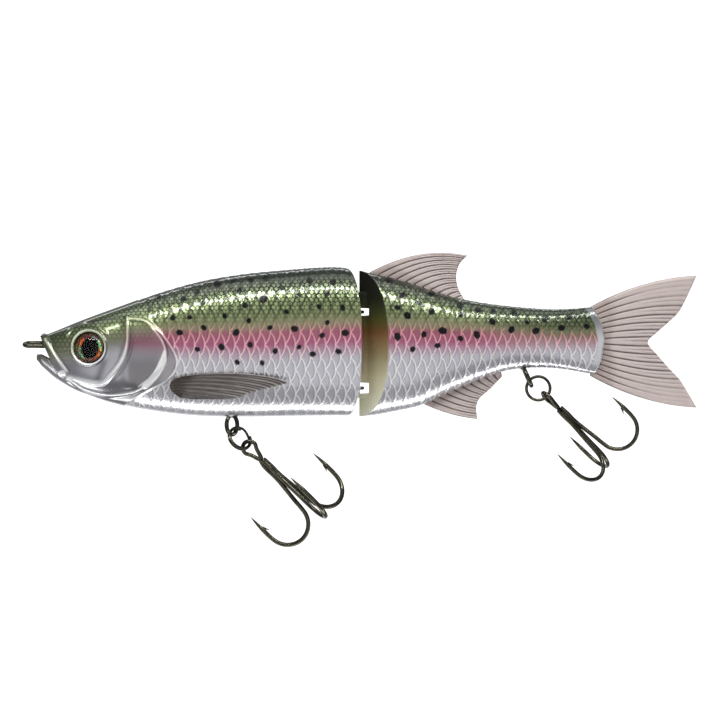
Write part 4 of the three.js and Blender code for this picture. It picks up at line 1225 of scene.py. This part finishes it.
def studio():
    """A round pale studio, far enough away for views from all sides, and soft boxes near the lure."""
    floor, radius, bend = -1.8, 4.0, 1.0
    profile = [(0.01, floor), (radius - bend, floor)]
    for degrees in range(6, 91, 6):
        a = math.radians(degrees)
        profile.append((radius - bend + bend * math.sin(a), floor + bend - bend * math.cos(a)))
    profile.append((radius, 3.5))
    angle = np.linspace(0, 2 * math.pi, 64, endpoint=False)
    verts = [[(r * math.cos(a), r * math.sin(a), z) for a in angle] for r, z in profile]
    room = add_mesh("studio_room", np.array(verts) / MM, grid_faces(len(profile), 64, wrap_columns=True))
    n = Nodes("studio_white")
    n.set(Base_Color=(0.93, 0.93, 0.93, 1), Roughness=0.9, Emission_Color=(1, 1, 1, 1), Emission_Strength=1.0)
    room.data.materials.append(n.material)
    room.visible_diffuse = False
    room.visible_glossy = False
    bpy.context.scene.view_settings.view_transform = "Standard"
    world = bpy.data.worlds.new("studio_air")
    bpy.context.scene.world = world
    world.use_nodes = True
    air = world.node_tree.nodes["Background"]
    air.inputs["Color"].default_value = (0.94, 0.95, 1.0, 1)
    air.inputs["Strength"].default_value = 0.3
    soft_box("top_strip", (0.09, -0.42, 0.50), (0.9, 0.06), 4.0)
    soft_box("top_fill", (0.09, -0.10, 0.75), (0.9, 0.35), 1.5)
    soft_box("belly_strip", (0.09, -0.005, -0.14), (0.9, 0.045), 0.5)
    soft_box("back_strip", (0.09, 0.42, 0.50), (0.9, 0.06), 0.8)
    soft_box("front_panel", (0.09, -1.25, -0.30), (1.8, 1.1), 3.0)
    soft_box("back_panel", (0.09, 1.25, -0.30), (1.8, 1.1), 3.5)


def soft_box(name, at, size, power):
    """A rectangle of light, long along X, that faces the lure's middle."""
    light = bpy.data.lights.new(name, "AREA")
    light.shape = "RECTANGLE"
    light.size, light.size_y = size
    light.energy = power
    obj = bpy.data.objects.new(name, light)
    obj.location = at
    aim = np.array([0.09, 0, 0]) - np.array(at)
    obj.rotation_euler = (math.atan2(aim[1], -aim[2]), 0, 0)
    bpy.context.scene.collection.objects.link(obj)
    obj.visible_camera = False


def camera():
    """Square to the fish's left side, from far enough away that the view is nearly flat."""
    distance, width = 1.3, 0.1951
    data = bpy.data.cameras.new("side_camera")
    data.sensor_width = 36
    data.lens = data.sensor_width * distance / width
    obj = bpy.data.objects.new("side_camera", data)
    obj.location = (0.0892, -distance, -0.0042)
    obj.rotation_euler = (math.pi / 2, 0, 0)
    bpy.context.scene.collection.objects.link(obj)
    bpy.context.scene.camera = obj


# ---------- assembly ----------

def main():
    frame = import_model()
    camera()
    studio()
    skin = [paint(), joint_paint()]
    nickel = black_nickel()
    steel = drawn_steel()
    # On the pale fins the dark groove colour is painted shade between the rays.
    pale_fin = soft_fin("pale_fin", (0.74, 0.645, 0.61), (0.15, 0.11, 0.09), (0.75, 0.71, 0.69), -0.55)
    dark_fin = soft_fin("dark_fin", (0.13, 0.11, 0.105), (0.5, 0.46, 0.43), (0.35, 0.28, 0.24), -0.35, 0.3)
    foil, resin = holographic_foil(), clear_resin()

    for word, side in (("left", -1), ("right", 1)):
        place(front_shell(side, word), "front_segment", "painted_shell", skin, f"front_shell_{word}")
        place(rear_shell(side, word), "rear_segment", "painted_shell", skin, f"rear_shell_{word}")
        place(pectoral_fin(side, word), "front_segment", "dark_soft_fin", dark_fin, f"pectoral_fin_{word}")
        place(eye_disc(side, word), "front_segment", "eye_foil", foil, f"eye_disc_{word}")
        place(eye_lens(side, word), "front_segment", "eye_resin", resin, f"eye_lens_{word}")
    place(mouth_lining(), "front_segment", "painted_shell", mouth_paint())

    dorsal = fin("fin_dorsal", DORSAL_ROOT, DORSAL_EDGE, lambda v: 2.6 * (1 - v) ** 1.2, (1.3, 0.5), 11)
    place(dorsal, "rear_segment", "pale_soft_fin", pale_fin, "dorsal_fin")
    anal = fin("fin_anal", ANAL_ROOT, ANAL_EDGE, lambda v: -0.7 * (1 - v), (1.3, 0.5), 10)
    place(anal, "rear_segment", "pale_soft_fin", pale_fin, "anal_fin")
    tail = fin("fin_tail", TAIL_ROOT, TAIL_EDGE, lambda v: 1.9 * (1 - 2 * v), (1.5, 0.5), 15, fade=1.0)
    tail.data.materials.append(pale_fin)
    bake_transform(tail)
    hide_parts("tail_fin")

    tie = wire("tie_wire", stadium(0.1, 12.2, 1.8, roll=math.radians(13)), 0.6, closed=True, steps=200)
    place(tie, "front_segment", "black_nickel", nickel, "line_tie")
    for node, height in (("upper_hinge_eye", 8.8), ("lower_hinge_eye", -11.8)):
        loop = wire(node + "_wire", stadium(79, PIN_X, 1.35, height), 0.45, closed=True, steps=180)
        place(loop, "front_segment", "bright_steel", steel, node)

    for end, rig in (("front", front_rig()), ("rear", rear_rig())):
        for build, name, body, node in (
            (hanger_eye, "hanger_loop", "hanger", "hanger_eye"),
            (split_ring, "ring_coils", "ring", "split_ring"),
            (eyed_hook, "hook_eyed", "treble", "treble_eyed_hook"),
            (twin_hooks, "hook_twins", "treble", "treble_twin_hooks"),
        ):
            piece = build(rig, f"{end}_{name}")
            place(piece, f"{end}_{body}", "black_nickel", nickel, f"{end}_{node}")

    brass = drawn_steel("turned_brass", (0.6, 0.42, 0.16))
    for name, node in frame["nodes"].items():
        if "ballast" in name or "barrel" in name or name == "hinge_pin":
            node.data.materials.clear()
            node.data.materials.append(brass if "barrel" in name else steel)


main()
